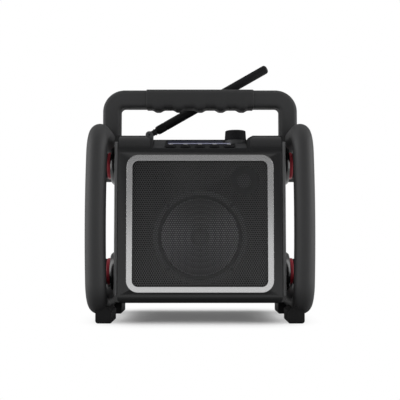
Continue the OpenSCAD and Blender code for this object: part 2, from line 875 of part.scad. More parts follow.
// Fixed handle: two legs and a crossbar of one section, saddled on the upper rails
module handle() {
  color("#222324")
  difference() {
    union() {
      both_sides() {
        translate([leg_x, 0, leg_foot_z]) linear_extrude(bend_z - leg_foot_z) handle_section(0);
        translate([leg_x - handle_t/2 - handle_bend, 0, bend_z]) rotate([90, 0, 0])
          rotate_extrude(angle = 90) translate([handle_t/2 + handle_bend, 0]) handle_section(0);
      }
      translate([-leg_x + handle_t/2 + handle_bend, 0, bar_z]) rotate([0, 90, 0])
        linear_extrude(2*leg_x - handle_t - 2*handle_bend) handle_section(0);
    }
    both_sides() {
      translate([rail_x, 0, rail_z[1]]) rod_y(guard_r, -handle_d, handle_d);
      // Foot's outer part stops at the rail
      translate([rail_x, -handle_d, rail_z[1] - 20]) cube([30, 2*handle_d, 20]);
      for (sy = [-1, 1]) translate([0, sy*handle_bolt_y, rail_z[1]])
        rod_x(bolt_r, leg_x - handle_t/2 + 1.5, rail_x);
    }
    // Seat of the grip
    translate([-grip_w/2, 0, bar_z]) rotate([0, 90, 0]) linear_extrude(grip_w) difference() {
      square(60, center = true);
      rounded_rect(handle_t - 2, handle_d - 2, handle_r - 1);
    }
  }
}

// Soft grip round the crossbar, with finger ribs below and over its faces
module handle_grip() {
  rib_w = 13.6;
  rib_low = 3;
  rib_pitch = 30;
  color("#1a1b1c")
  translate([0, 0, bar_z]) rotate([0, 90, 0]) difference() {
    union() {
      translate([0, 0, -grip_w/2]) linear_extrude(grip_w) handle_section(grip_proud);
      for (i = [0:grip_ribs - 1])
        translate([rib_low/2, 0, (i - (grip_ribs - 1)/2)*rib_pitch - rib_w/2])
          linear_extrude(rib_w) rounded_rect(handle_t + 2*grip_proud + rib_low,
            handle_d + 2*grip_proud + 1.2, handle_r + grip_proud);
    }
    translate([0, 0, -grip_w]) linear_extrude(2*grip_w)
      rounded_rect(handle_t - 2, handle_d - 2, handle_r - 1);
    // The ribs stop short of the grip's top
    translate([-handle_t, -handle_d, -grip_w]) translate([-handle_t/2 - grip_proud, 0, 0])
      cube([handle_t, 2*handle_d, 2*grip_w]);
  }
}

// Bolts that hold the handle's legs to the rails, from outside
module handle_bolts() {
  color("#3a3b3d")
  both_sides() for (sy = [-1, 1]) translate([0, sy*handle_bolt_y, rail_z[1]]) {
    difference() {
      union() {
        rod_x(bolt_r, leg_x - handle_t/2 + 1.5, rail_x + guard_r - bolt_head_h);
        rod_x(bolt_head_r, rail_x + guard_r - bolt_head_h - 1.5, rail_x + guard_r - 1.5);
      }
      translate([rail_x + guard_r - 4, 0, 0]) rotate([0, 90, 0]) cylinder(r = 2.9, h = 4, $fn = 6);
    }
  }
}

// ---- Guards --------------------------------------------------------------------

// One end of the guard's front bar, turned to the bow's tilt: up is 1 or -1
module at_bar_end(up) {
  translate([bar_end_x, 0, up > 0 ? bar_end_z[1] : bar_end_z[0]]) rotate([0, -up*bow_angle, 0]) children();
}

// Quarter bend of radius r of the guard's tube, at the front (sy -1) or rear (sy 1) and
// at the top (up 1) or bottom (up -1). It runs a degree into each straight stretch
module guard_bend_at(sy, up, r) {
  turn = up > 0 ? (sy > 0 ? 0 : 90) : (sy > 0 ? 270 : 180);
  at_bar_end(up) translate([0, sy*(guard_front - guard_bend), 0])
    rotate([90, 0, 90]) rotate([0, 0, turn - 1])
      rotate_extrude(angle = 92) translate([guard_bend, 0]) circle(r);
}

// Right-hand guard: bowed front bar, four bends, two rails, two rear stubs, and a hub
// webbed to each bend
module guard() {
  bend_y = guard_front - guard_bend;
  difference() {
    union() {
      translate([bow_centre_x, -guard_front, mid_z]) rotate([90, 0, 0]) rotate([0, 0, -bow_angle])
        rotate_extrude(angle = 2*bow_angle, $fn = 400) translate([guard_bow, 0]) circle(guard_r, $fn = 96);
      for (up = [-1, 1], sy = [-1, 1]) guard_bend_at(sy, up, guard_r - bend_step);
      for (z = rail_z) translate([rail_x, 0, z]) rod_y(guard_r, -bend_y, bend_y);
      at_bar_end(1) translate([0, guard_front, 0]) guard_stub(stub_top, -1);
      at_bar_end(-1) translate([0, guard_front, 0]) guard_stub(stub_low, 1);
      for (sy = [-1, 1], k = [0, 1]) translate([0, sy*hub_y, hub_z[k]])
        guard_hub(sy > 0 ? rear_hub_r : hub_r, atan2(2*k - 1, sy));
    }
    for (sy = [-1, 1], z = hub_z) translate([0, sy*hub_y, z]) {
      rod_x(bolt_r + 0.2, hub_x0 - cut, hub_x1 + cut);
      rod_x(bolt_head_r + 0.4, hub_x1 - bolt_head_h - 1, hub_x1 + cut);
    }
    for (sy = [-1, 1]) translate([0, sy*handle_bolt_y, rail_z[1]]) {
      rod_x(bolt_r, rail_x - guard_r - cut, rail_x + guard_r);
      rod_x(bolt_head_r, rail_x + guard_r - bolt_head_h - 1.5, rail_x + guard_r + cut);
    }
    for (sy = [-1, 1]) translate([foot_screw_x, sy*foot_y, rail_z[0] - guard_r - cut])
      cylinder(r = foot_screw_r, h = guard_r + 4);
  }
}

// Straight end of the tube behind a rear bend, with a round tip
module guard_stub(length, up) {
  mirror([0, 0, up > 0 ? 0 : 1]) {
    cylinder(r = guard_r, h = length - guard_r);
    translate([0, 0, length - guard_r]) sphere(guard_r);
  }
}

// Hub disc of radius r, with a web that joins it to the tube at an angle from the rear
module guard_hub(r, angle) {
  rotate([0, 90, 0]) translate([0, 0, hub_x0]) rotate_extrude() polygon([
    [0, 0], [r - 1, 0], [r, 1], [r, hub_x1 - hub_x0 - 2],
    [r - 2, hub_x1 - hub_x0], [0, hub_x1 - hub_x0]
  ]);
  rotate([angle, 0, 0]) translate([hub_x0 + 2, 0, -web_w/2])
    cube([hub_x1 - hub_x0 - 4, web_l, web_w]);
}

module guard_right() {
  color("#262728") guard();
}

module guard_left() {
  color("#262728") mirror([1, 0, 0]) guard();
}

// A turned spacer in the standoff, from x0 to x1, with rounded edges
module standoff_ring(r, x0, x1, edge) {
  both_sides() for (sy = [-1, 1], z = hub_z) translate([x0, sy*hub_y, z]) rotate([0, 90, 0])
    difference() {
      rotate_extrude() polygon([
        [0, 0], [r - edge, 0], [r, edge], [r, x1 - x0 - edge], [r - edge, x1 - x0], [0, x1 - x0]
      ]);
      translate([0, 0, -cut]) cylinder(r = bolt_r + 0.2, h = x1 - x0 + 2*cut);
    }
}

// Red rings against the housing's bosses
module guard_rings() {
  color("#8a1f2a") standoff_ring(ring_r, boss_x, ring_x, 0.8);
}

// Black collars between the red rings and the hubs
module guard_collars() {
  color("#1e1f20") standoff_ring(ring_r - 0.8, ring_x, collar_x, 0.5);
}

// Bolts through the hubs, collars and rings into the housing
module guard_bolts() {
  color("#3a3b3d")
  both_sides() for (sy = [-1, 1], z = hub_z) translate([0, sy*hub_y, z]) difference() {
    union() {
      rod_x(bolt_r, half_w - 18, hub_x1 - bolt_head_h);
      rod_x(bolt_head_r, hub_x1 - bolt_head_h - 1, hub_x1 - 1);
    }
    translate([hub_x1 - 4, 0, 0]) rotate([0, 90, 0]) cylinder(r = 2.9, h = 5, $fn = 6);
  }
}

// Nuts and washers inside the housing
module guard_nuts() {
  color("#8a8c8e")
  both_sides() for (sy = [-1, 1], z = hub_z)
    translate([half_w - 17, sy*hub_y, z]) rotate([0, 90, 0]) difference() {
      union() {
        cylinder(r = 5.8, h = 3.6, $fn = 6);
        translate([0, 0, 3.6]) cylinder(r = 8.4, h = 1.4);
      }
      translate([0, 0, -cut]) cylinder(r = bolt_r, h = 8);
    }
}

// ---- Feet ----------------------------------------------------------------------

// One foot at the front right: a block under the lower rail whose saddle follows the
// tube into its front bend
module foot() {
  y0 = -foot_y - foot_l/2;
  y1 = -foot_y + foot_l/2;
  difference() {
    along_y(y0, y1) difference() {
      polygon([
        [foot_x0, 0], [foot_x1, 0], [foot_x1, saddle_h], [foot_x0 + 9, saddle_h],
        [foot_x0, foot_h]
      ]);
      corner_cut(foot_x0, 0, 1, 1, 2);
      corner_cut(foot_x1, 0, -1, 1, 4);
    }
    along_x(foot_x0 - cut, foot_x1 + cut) {
      corner_cut(y0, 0, 1, 1, 1.5);
      corner_cut(y1, 0, -1, 1, 1.5);
    }
    translate([rail_x, 0, rail_z[0]]) rod_y(guard_r, guard_bend - guard_front, 0);
    guard_bend_at(-1, -1, guard_r - 0.1);
    translate([foot_screw_x, -foot_y, -cut]) cylinder(r = foot_screw_r, h = saddle_h);
    translate([foot_screw_x, -foot_y, -cut]) cylinder(r = foot_head_r, h = 4 + cut);
  }
}

module foot_front_right() {
  color("#141515") foot();
}

module foot_front_left() {
  color("#141515") mirror([1, 0, 0]) foot();
}

module foot_rear_right() {
  color("#141515") mirror([0, 1, 0]) foot();
}

module foot_rear_left() {
  color("#141515") mirror([1, 0, 0]) mirror([0, 1, 0]) foot();
}

// Screws up through the feet into the rails
module foot_screws() {
  color("#8a8c8e")
  both_sides() for (sy = [-1, 1]) translate([foot_screw_x, sy*foot_y, 0]) difference() {
    union() {
      translate([0, 0, 4]) cylinder(r = foot_screw_r, h = rail_z[0] - guard_r + 10);
      translate([0, 0, 1.4]) cylinder(r = foot_head_r - 0.3, h = 2.6);
    }
    translate([0, 0, 0.4]) cylinder(r = 1.8, h = 2.4, $fn = 6);
  }
}

// ---- Battery bay ---------------------------------------------------------------

hinge_y = y_back - 2.8;
hinge_z = door_z - door_h/2 + 3.2;
hinge_r = 2.8;
hinge_pin_r = 1.2;
door_gap = 0.3;
door_top = door_z + door_h/2;
latch_neck_w = 12;
y_tray = y_back - 45;
y_tray_end = y_back - 6.5;
cell_y = y_tray + tray_wall + 1 + cell_r;
cell_z = [for (i = [0:cell_rows - 1]) door_z + (i - (cell_rows - 1)/2)*cell_pitch];
contact_t = 0.6;
board_y = y_tray - 5;

// Battery door: a ribbed panel whose lower edge is the hinge's barrel
module battery_door() {
  color("#202122")
  difference() {
    union() {
      intersection() {
        translate([0, 0, door_z]) along_y(y_back - door_t, y_back)
          rounded_rect(door_w - 2*door_gap, door_h - 2*door_gap, 3.7);
        translate([-door_w, 0, hinge_z]) cube([2*door_w, body_d, door_h]);
      }
      translate([0, hinge_y, hinge_z]) rod_x(hinge_r, -door_w/2 + door_gap, door_w/2 - door_gap);
      for (x = [-48, -24, 24, 48])
        translate([x - 1, y_back - door_t - 2.5, door_z - door_h/2 + 12])
          cube([2, 3, door_h - 24]);
    }
    // Finger dip below the latch
    translate([0, y_back + 4, door_top - 9]) rod_x(6, -12, 12);
    for (sx = [-1, 1]) translate([0, hinge_y, hinge_z])
      rod_x(hinge_pin_r + 0.05, sx > 0 ? door_w/2 - 6 : -door_w/2 - cut,
        sx > 0 ? door_w/2 + cut : -door_w/2 + 6);
    for (i = [-3:3]) if (abs(i) > 0)
      translate([i*18 - 0.75, y_back - 0.8, door_z - door_h/2 + 14]) cube([1.5, 2, door_h - 46]);
  }
}

// Two pins that the door turns on, fixed in the housing
module door_pins() {
  color("#b5b7b9")
  both_sides() translate([0, hinge_y, hinge_z]) rod_x(hinge_pin_r, door_w/2 - 5.8, door_w/2 + 4);
}

// Sliding latch above the door, drawn up: pushed down, its plate laps over the door's
// top edge. A neck through the wall joins it to a retainer inside
module battery_latch() {
  plate_w = 28;
  plate_h = 16;
  retainer_w = 18;
  grip_line_w = 20;
  color("#3f4144")
  difference() {
    union() {
      translate([-plate_w/2, y_back + 0.2, door_top + 1]) cube([plate_w, 3, plate_h]);
      translate([-latch_neck_w/2, y_back - wall - 0.5, door_top + 8.3])
        cube([latch_neck_w, wall + 1, 5]);
      translate([-retainer_w/2, y_back - wall - 2.4, door_top + 6.6])
        cube([retainer_w, 2.2, 8.4]);
    }
    for (i = [0:3]) translate([-grip_line_w/2, y_back + 2.6, door_top + 4 + i*3])
      cube([grip_line_w, 1, 1.4]);
  }
}

// Battery tray, open to the rear, with cradles between the rows of cells
module battery_holder() {
  out_w = bay_w + 2*tray_wall;
  out_h = bay_h + 2*tray_wall;
  color("#2a2b2d")
  difference() {
    union() {
      difference() {
        translate([0, 0, door_z]) along_y(y_tray, y_tray_end) rounded_rect(out_w, out_h, 2);
        translate([0, 0, door_z]) along_y(y_tray + tray_wall, y_back) rounded_rect(bay_w, bay_h, 1);
      }
      translate([-1, y_tray, door_z - bay_h/2]) cube([2, 30, bay_h]);
      for (sx = [-1, 1], sz = [-1, 1]) translate([sx*60, 0, door_z + sz*40])
        rod_y(3.5, board_y + 1.6, y_tray + eps);
      for (sx = [-1, 1], i = [0:cell_rows - 2])
        translate([sx*33 - 24, y_tray, cell_z[i] + cell_pitch/2 - 2]) cube([48, 8, 4]);
    }
    for (z = cell_z) translate([0, cell_y, z]) {
      rod_x(cell_r + 0.2, -bay_w/2, -2);
      rod_x(cell_r + 0.2, 2, bay_w/2);
    }
    for (z = cell_z) translate([0, cell_y, z]) rod_x(6, -3, 3);
  }
}

// Six D cells, turned end for end from row to row
module battery_cells() {
  color("#6f7276")
  for (sx = [-1, 1], i = [0:cell_rows - 1])
    translate([sx*(cell_l/2 + 2.2), cell_y, cell_z[i]]) rotate([0, (i % 2 == 0 ? 1 : -1)*90, 0])
      rotate_extrude() polygon([
        [0, -cell_l/2], [cell_r - 1, -cell_l/2], [cell_r, -cell_l/2 + 1],
        [cell_r, cell_l/2 - 3], [cell_r - 1, cell_l/2 - 2], [4.7, cell_l/2 - 2],
        [4.7, cell_l/2], [0, cell_l/2]
      ]);
}

// Contact plates at the ends of the bay, each with a stack of spring turns
module battery_contacts() {
  color("#b5b7b9")
  both_sides() for (z = cell_z) translate([0, cell_y, z]) {
    translate([bay_w/2 - contact_t, -9, -9]) cube([contact_t, 18, 18]);
    for (k = [0:2]) translate([bay_w/2 - contact_t - 0.5 - k*0.95, 0, 0]) rotate([0, 90, 0])
      rotate_extrude() translate([7.5 - k*1.6, 0]) circle(0.5, $fn = 16);
  }
}

// ---- Sockets and electronics ---------------------------------------------------

usb_x = 0;
aux_x = -34;
inlet_x = 34;

// Panel with an aux socket, a USB socket and a DC inlet, each on its own body
module socket_panel() {
  y_face = y_back - 3;
  color("#2d2e30")
  translate([0, 0, panel_z]) difference() {
    union() {
      along_y(y_back - panel_d, y_face) rounded_rect(panel_w, panel_h, 4);
      translate([usb_x - 8, y_back - 20, -5]) cube([16, 16, 10]);
      translate([aux_x, 0, 0]) rod_y(4.5, y_back - 20, y_face + 0.8);
      translate([inlet_x - 6, y_back - 20, -6]) cube([12, 16, 12]);
      translate([inlet_x, 0, 0]) rod_y(6.5, y_face - 1, y_face + 0.8);
    }
    difference() {
      translate([usb_x - 6.3, y_back - 15, -2.5]) cube([12.6, 20, 5]);
      translate([usb_x - 5.6, y_back - 15, -0.2]) cube([11.2, 11, 2]);
    }
    translate([aux_x, 0, 0]) rod_y(1.8, y_back - 19, y_back);
    translate([inlet_x, 0, 0]) difference() {
      rod_y(3.2, y_back - 14, y_back);
      rod_y(1, y_back - 15, y_back - 4);
    }
  }
}

// Rubber flap over the sockets, hinged on two nubs at its upper edge
cover_t = 2.7;
cover_hinge_y = y_back - cover_t/2;
cover_hinge_z = panel_z + panel_h/2 - door_gap - cover_t/2;
cover_nub_r = 0.9;
module socket_cover() {
  cover_w = panel_w - 2*door_gap;
  color("#141515")
  difference() {
    union() {
      translate([0, 0, panel_z]) intersection() {
        along_y(y_back - 1.2, y_back) rounded_rect(cover_w, panel_h - 2*door_gap, 3.7);
        translate([-panel_w, 0, -panel_h]) cube([2*panel_w, body_d, panel_h + panel_h/2 - 1.65]);
      }
      translate([0, cover_hinge_y, cover_hinge_z]) {
        rod_x(cover_t/2, -cover_w/2, cover_w/2);
        rod_x(cover_nub_r, -cover_w/2 - 2, cover_w/2 + 2);
      }
    }
    // Finger dip at the lower edge
    translate([0, y_back + 7.2, panel_z - panel_h/2 + 4]) rod_x(8, -12, 12);
  }
}

// Main board, upright in front of the battery tray
module main_board() {
  color("#1f5a34")
  translate([-75, board_y, z_low + 25]) cube([150, 1.6, 135]);
  color("#1b1c1d") {
    translate([-50, board_y - 2.4, z_low + 50]) cube([24, 2.4, 24]);
    translate([20, board_y - 3, z_low + 45]) cube([16, 3, 10]);
    translate([-8, board_y - 4, z_low + 92]) cube([22, 4, 14]);
  }
  color("#6a6d71") for (i = [0:3]) translate([-20 + i*16, 0, z_low + 70])
    rod_y(6, board_y - 18, board_y);
}

// Finned heat sink of the amplifier
module heat_sink() {
  color("#8d9093")
  translate([-36, 0, z_low + 112]) {
    translate([0, board_y - 4, 0]) cube([72, 4, 40]);
    for (i = [0:8]) translate([i*8.75, board_y - 22, 0]) cube([2, 18 + eps, 40]);
  }
}

front_shell();
rear_shell();
shell_gasket();
shell_screws();
trim_frame();
grille();
woofer_basket();
woofer_surround();
woofer_cone();
woofer_dust_cap();
woofer_magnet();
woofer_screws();
tweeter_plate();
tweeter_dome();
tweeter_magnet();
control_deck();
display_lens();
lcd_module();
button_board();
button_1();
button_2();
button_3();
button_4();
button_5();
volume_knob();
knob_collar();
rotary_encoder();
encoder_shaft();
main_board();
heat_sink();
antenna_socket();
antenna_base();
antenna_pin();
antenna_neck();
antenna_sleeve();
handle();
handle_grip();
handle_bolts();
guard_left();
guard_right();
guard_collars();
guard_rings();
guard_bolts();
guard_nuts();
foot_front_left();
foot_front_right();
foot_rear_left();
foot_rear_right();
foot_screws();
battery_door();
door_pins();
battery_latch();
battery_holder();
battery_cells();
battery_contacts();
socket_panel();
socket_cover();
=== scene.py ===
"""Looks of a jobsite radio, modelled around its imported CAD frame.

Lengths are metres in the CAD's own frame: X to the right of someone facing the front, Y to
the rear and Z up from the floor. Each sub-assembly is a class whose fields are its sizes and
whose build method makes and dresses its pieces. The finishes are frozen dataclasses.
"""
import json
import logging
import math
from dataclasses import dataclass
from enum import Enum

import bmesh
import bpy
from mathutils import Matrix, Vector

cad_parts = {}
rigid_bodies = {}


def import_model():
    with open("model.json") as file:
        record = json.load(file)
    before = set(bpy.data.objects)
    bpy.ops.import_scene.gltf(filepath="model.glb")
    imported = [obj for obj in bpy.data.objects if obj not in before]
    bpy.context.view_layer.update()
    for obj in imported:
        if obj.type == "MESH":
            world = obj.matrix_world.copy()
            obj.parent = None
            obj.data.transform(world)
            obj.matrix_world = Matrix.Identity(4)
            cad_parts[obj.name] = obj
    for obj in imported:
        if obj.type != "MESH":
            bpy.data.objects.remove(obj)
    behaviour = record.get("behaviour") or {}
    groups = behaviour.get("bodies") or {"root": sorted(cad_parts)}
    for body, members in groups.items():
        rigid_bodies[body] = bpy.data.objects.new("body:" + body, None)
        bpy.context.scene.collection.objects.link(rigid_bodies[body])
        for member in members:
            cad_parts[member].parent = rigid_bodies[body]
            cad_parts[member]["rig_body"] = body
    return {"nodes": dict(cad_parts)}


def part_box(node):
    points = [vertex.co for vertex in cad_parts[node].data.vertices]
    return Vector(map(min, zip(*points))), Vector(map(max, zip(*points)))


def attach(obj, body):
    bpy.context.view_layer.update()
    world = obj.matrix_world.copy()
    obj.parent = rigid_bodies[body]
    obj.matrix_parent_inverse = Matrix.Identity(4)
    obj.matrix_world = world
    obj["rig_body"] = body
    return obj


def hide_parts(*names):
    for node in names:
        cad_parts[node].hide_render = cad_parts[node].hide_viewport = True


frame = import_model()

Pair = tuple[float, float]
Rings = list[list[Vector]]
Node = bpy.types.Node
Socket = bpy.types.NodeSocket
Thing = bpy.types.Object

LOG = logging.getLogger("radio")
MM = 0.001
WELD = 0.01 * MM
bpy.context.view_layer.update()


# ---- Node tree helpers


class Tree:
    """A thin wrapper that makes nodes and links of one node tree short to write."""

    def __init__(self, tree: bpy.types.NodeTree) -> None:
        """Wraps a shader or geometry node tree."""
        self.tree = tree

    def node(self, kind: str, inputs: dict[str | int, object] | None = None, **settings: object) -> Node:
        """Adds a node.

        Args:
            kind: Blender's type name of the node.
            inputs: a link or a constant for inputs of the node, by name or number.
            settings: properties of the node, by name.

        Returns:
            The new node.
        """
        made = self.tree.nodes.new(kind)
        for name, value in settings.items():
            setattr(made, name, value)
        self.feed(made, inputs or {})
        return made

    def feed(self, node: Node, inputs: dict[str | int, object]) -> None:
        """Gives inputs of a node their links or constants.

        Args:
            node: the node.
            inputs: a link or a constant for each input, by name or number.
        """
        for key, value in inputs.items():
            if isinstance(value, Socket):
                self.tree.links.new(value, node.inputs[key])
            else:
                node.inputs[key].default_value = value

    def math(self, operation: str, first: object, second: object = 0.0, clamp: bool = False) -> Socket:
        """Adds a Math node.

        Args:
            operation: the Math node's operation.
            first: its first input, a link or a number.
            second: its second input.
            clamp: whether the result is kept from 0 to 1.

        Returns:
            The node's output.
        """
        return self.node("ShaderNodeMath", {0: first, 1: second}, operation=operation, use_clamp=clamp).outputs[0]

    def ramp(self, value: Socket, source: Pair, target: Pair) -> Socket:
        """Adds a smooth step from one stretch of values to another.

        Args:
            value: the value to turn over.
            source: where the step starts and ends.
            target: what it gives before and after.

        Returns:
            The node's output.
        """
        numbers = dict(enumerate((value, *source, *target)))
        return self.node("ShaderNodeMapRange", numbers, interpolation_type="SMOOTHSTEP").outputs[0]

    def scaled(self, vector: Socket, factor: Socket) -> Socket:
        """Returns a vector or a colour times a factor."""
        return self.node("ShaderNodeVectorMath", {0: vector, "Scale": factor}, operation="SCALE").outputs["Vector"]

    def place(self) -> Socket:
        """Returns the object coordinates of the point that is shaded."""
        return self.node("ShaderNodeTexCoord").outputs["Object"]

    def split(self, vector: Socket) -> bpy.types.NodeOutputs:
        """Returns the three parts of a vector, by the names X, Y and Z."""
        return self.node("ShaderNodeSeparateXYZ", {0: vector}).outputs


SOCKETS = {tuple: "Color", float: "Float", int: "Int", Vector: "Vector", type(None): "Geometry"}


class Group(Tree):
    """A node group with named inputs and outputs."""

    def __init__(self, name: str, kind: str, inputs: dict[str, object], outputs: dict[str, object]) -> None:
        """Starts a group.

        Args:
            name: the group's name.
            kind: Shader or Geometry.
            inputs: each input's name and default, whose type gives the socket's.
            outputs: each output's name and a value of its type.
        """
        super().__init__(bpy.data.node_groups.new(name, kind + "NodeTree"))
        for way, sockets in (("INPUT", inputs), ("OUTPUT", outputs)):
            for label, value in sockets.items():
                socket_type = "NodeSocket" + SOCKETS[type(value)]
                made = self.tree.interface.new_socket(label, in_out=way, socket_type=socket_type)
                if kind == "Shader" and way == "INPUT":
                    made.default_value = value
        self.given = self.node("NodeGroupInput").outputs

    def give(self, results: dict[str, Socket]) -> bpy.types.NodeTree:
        """Links the group's outputs and returns the group."""
        self.node("NodeGroupOutput", results)
        return self.tree


class Effect(Enum):
    """Shader node groups that several finishes share, each built once."""

    GRAIN = "moulded_grain"
    TONE = "tone_variation"
    BRUSH = "brushed_lines"

    def group(self) -> bpy.types.NodeTree:
        """Returns the group, built the first time it is asked for."""
        made = bpy.data.node_groups.get(self.value)
        return made or {Effect.GRAIN: self._grain, Effect.TONE: self._tone, Effect.BRUSH: self._brush}[self]()

    def _grain(self) -> bpy.types.NodeTree:
        """Fine pebble texture of a spark-eroded mould, as a height.

        Returns:
            The group.
        """
        tree = Group(self.value, "Shader", {"Scale": 1800.0, "Pebble": 0.6}, {"Height": 0.0})
        place, scale = tree.place(), tree.given["Scale"]
        pebble = tree.node("ShaderNodeTexVoronoi", feature="SMOOTH_F1")
        tree.feed(pebble, {"Vector": place, "Scale": scale})
        finer = tree.math("MULTIPLY", scale, 1.7)
        fine = tree.node("ShaderNodeTexNoise", {"Vector": place, "Scale": finer, "Detail": 3.0})
        high = tree.math("MULTIPLY", pebble.outputs["Distance"], tree.given["Pebble"])
        return tree.give({"Height": tree.math("ADD", high, fine.outputs["Fac"])})

    def _tone(self) -> bpy.types.NodeTree:
        """Slow changes of tone and gloss, as handling and moulding leave on a surface.

        Returns:
            The group.
        """
        mid = (0.5, 0.5, 0.5, 1.0)
        inputs = {"Color": mid, "Amount": 0.15, "Scale": 18.0, "Roughness": 0.5, "Gloss Change": 0.06}
        tree = Group(self.value, "Shader", inputs, {"Color": inputs["Color"], "Roughness": 0.0})
        given = tree.given
        cloud = tree.node("ShaderNodeTexNoise", {"Vector": tree.place(), "Scale": given["Scale"], "Detail": 5.0})
        swing = tree.math("SUBTRACT", cloud.outputs["Fac"], 0.5)
        light = tree.math("ADD", tree.math("MULTIPLY", swing, given["Amount"]), 1.0)
        dull = tree.math("MULTIPLY", swing, given["Gloss Change"])
        gloss = tree.math("ADD", dull, given["Roughness"], clamp=True)
        return tree.give({"Color": tree.scaled(given["Color"], light), "Roughness": gloss})

    def _brush(self) -> bpy.types.NodeTree:
        """Short brushed lines along X, as a height.

        Returns:
            The group.
        """
        tree = Group(self.value, "Shader", {"Scale": 900.0, "Stretch": 0.03}, {"Height": 0.0})
        place = tree.split(tree.place())
        along = tree.math("MULTIPLY", place["X"], tree.given["Stretch"])
        join = tree.node("ShaderNodeCombineXYZ", {"X": along, "Y": place["Y"], "Z": place["Z"]})
        inputs = {"Vector": join.outputs[0], "Scale": tree.given["Scale"], "Detail": 2.0}
        return tree.give({"Height": tree.node("ShaderNodeTexNoise", inputs).outputs["Fac"]})


# ---- Finishes


@dataclass(frozen=True)
class Finish:
    """A surface finish, and the record's material slot that it belongs to.

    Colours are linear. bump_height is the depth of the texture in metres. The painted side
    sheen is how much lighter a face turned to a side is painted: a painted reflection of the side lights.
    """

    slot: str
    color: tuple[float, float, float]
    roughness: float = 0.5
    metallic: float = 0.0
    texture: Effect = Effect.GRAIN
    texture_scale: float = 1800.0
    bump_height: float = 0.00004
    tone: float = 0.18
    tone_scale: float = 22.0
    gloss_change: float = 0.08
    specular: float = 0.5
    coat: float = 0.0
    coat_roughness: float = 0.12
    painted_reflection: float = 0.0
    label: str = ""

    @property
    def name(self) -> str:
        """The material's name."""
        return (self.label or self.slot) + "_finish"

    def material(self) -> bpy.types.Material:
        """Builds the material the first time it is asked for.

        Returns:
            The material.
        """
        found = bpy.data.materials.get(self.name)
        if found is not None:
            return found
        made = bpy.data.materials.new(self.name)
        made.use_nodes = True
        tree = Tree(made.node_tree)
        tone = tree.node("ShaderNodeGroup", node_tree=Effect.TONE.group())
        tree.feed(tone, {
            "Color": (*self.color, 1.0), "Amount": self.tone, "Scale": self.tone_scale,
            "Roughness": self.roughness, "Gloss Change": self.gloss_change,
        })
        texture = tree.node("ShaderNodeGroup", node_tree=self.texture.group())
        tree.feed(texture, {"Scale": self.texture_scale})
        bump = tree.node("ShaderNodeBump", {"Distance": self.bump_height, "Height": texture.outputs["Height"]})
        color = tone.outputs["Color"]
        tree.feed(made.node_tree.nodes["Principled BSDF"], {
            "Base Color": self._painted_sheen(tree, color) if self.painted_reflection else color,
            "Roughness": tone.outputs["Roughness"], "Metallic": self.metallic, "Specular IOR Level": self.specular,
            "Coat Weight": self.coat, "Coat Roughness": self.coat_roughness, "Normal": bump.outputs["Normal"],
        })
        return made

    def _painted_sheen(self, tree: Tree, color: Socket) -> Socket:
        """Paints a reflection of the side lights into a colour: lighter on faces turned to a side, darker up or
        down.

        Args:
            tree: the material's tree.
            color: the colour.

        Returns:
            The changed colour.
        """
        normal = tree.split(tree.node("ShaderNodeNewGeometry").outputs["Normal"])
        across, along = [tree.math("MULTIPLY", normal[axis], normal[axis]) for axis in "XZ"]
        swing = tree.math("MULTIPLY", tree.math("SUBTRACT", across, along), self.painted_reflection)
        return tree.scaled(color, tree.math("ADD", swing, 1.0))


HOUSING = Finish(
    "housing_plastic", (0.0070, 0.0072, 0.0078), 0.22, bump_height=0.000004, gloss_change=0.02, specular=0.48,
)
DECK = Finish("deck_plastic", (0.012, 0.0122, 0.013), 0.6, specular=0.15)
# Painted highlight: the rims are painted far paler than the shell, for the light that their edges catch.
PAINTED_RIM_HIGHLIGHT = Finish("housing_plastic", (0.19, 0.191, 0.194), 0.4, bump_height=0.00001, label="painted_rim_highlight")
# Painted highlight: the flank plates are painted paler than the deck, for the light the flared walls catch.
PAINTED_FLANK_HIGHLIGHT = Finish("deck_plastic", (0.030, 0.0305, 0.032), 0.6, specular=0.15, label="painted_flank_highlight")
SILVER = Finish("silver_trim", (0.57, 0.57, 0.573), 0.16, 0.8, Effect.BRUSH, 700.0, 0.0, 0.01, gloss_change=0.01)
LINING = Finish("silver_trim", (0.008, 0.008, 0.0085), 0.6, specular=0.1, label="trim_lining")
GRILLE = Finish("grille_steel", (0.029, 0.0292, 0.030), 0.22, bump_height=0.000002, specular=0.48)
SPEAKER_STEEL = Finish("speaker_steel", (0.060, 0.061, 0.064), 0.38)
# Painted reflection: the cone is painted lighter where it faces a side, for the side lights' glints.
CONE = Finish("cone_paper", (0.17, 0.171, 0.177), 0.42, bump_height=0.00001, specular=0.5, painted_reflection=2.0)
DUST_CAP = Finish("cone_paper", (0.12, 0.121, 0.126), 0.42, bump_height=0.00001, label="dust_cap")
DOME = Finish("dome_fabric", (0.08, 0.081, 0.084), 0.42, texture_scale=3000.0)
DARK_PLASTIC = Finish("dark_plastic", (0.014, 0.0142, 0.015), 0.52, specular=0.3)
SEAL = Finish("seal_rubber", (0.008, 0.008, 0.0085), 0.7, specular=0.25)
BOARD = Finish("circuit_board", (0.012, 0.075, 0.030), 0.35)
BUTTON = Finish("button_plastic", (0.0105, 0.0105, 0.0115), 0.65, specular=0.06)
LIGHT_PLASTIC = Finish("light_plastic", (0.12, 0.124, 0.128), 0.45)
COLLAR_RING = Finish("light_plastic", (0.055, 0.056, 0.058), 0.5, specular=0.2, label="knob_ring")
MARK = Finish("button_plastic", (0.30, 0.30, 0.31), 0.5, label="button_mark")
STEEL = Finish("bright_steel", (0.40, 0.41, 0.42), 0.34, 1.0, Effect.BRUSH, 1500.0, 0.00001, 0.08)
DARK_STEEL = Finish("dark_steel", (0.022, 0.023, 0.025), 0.42, 0.5, bump_height=0.00001)
ANTENNA_RUBBER = Finish("antenna_rubber", (0.008, 0.008, 0.0088), 0.6, specular=0.15)
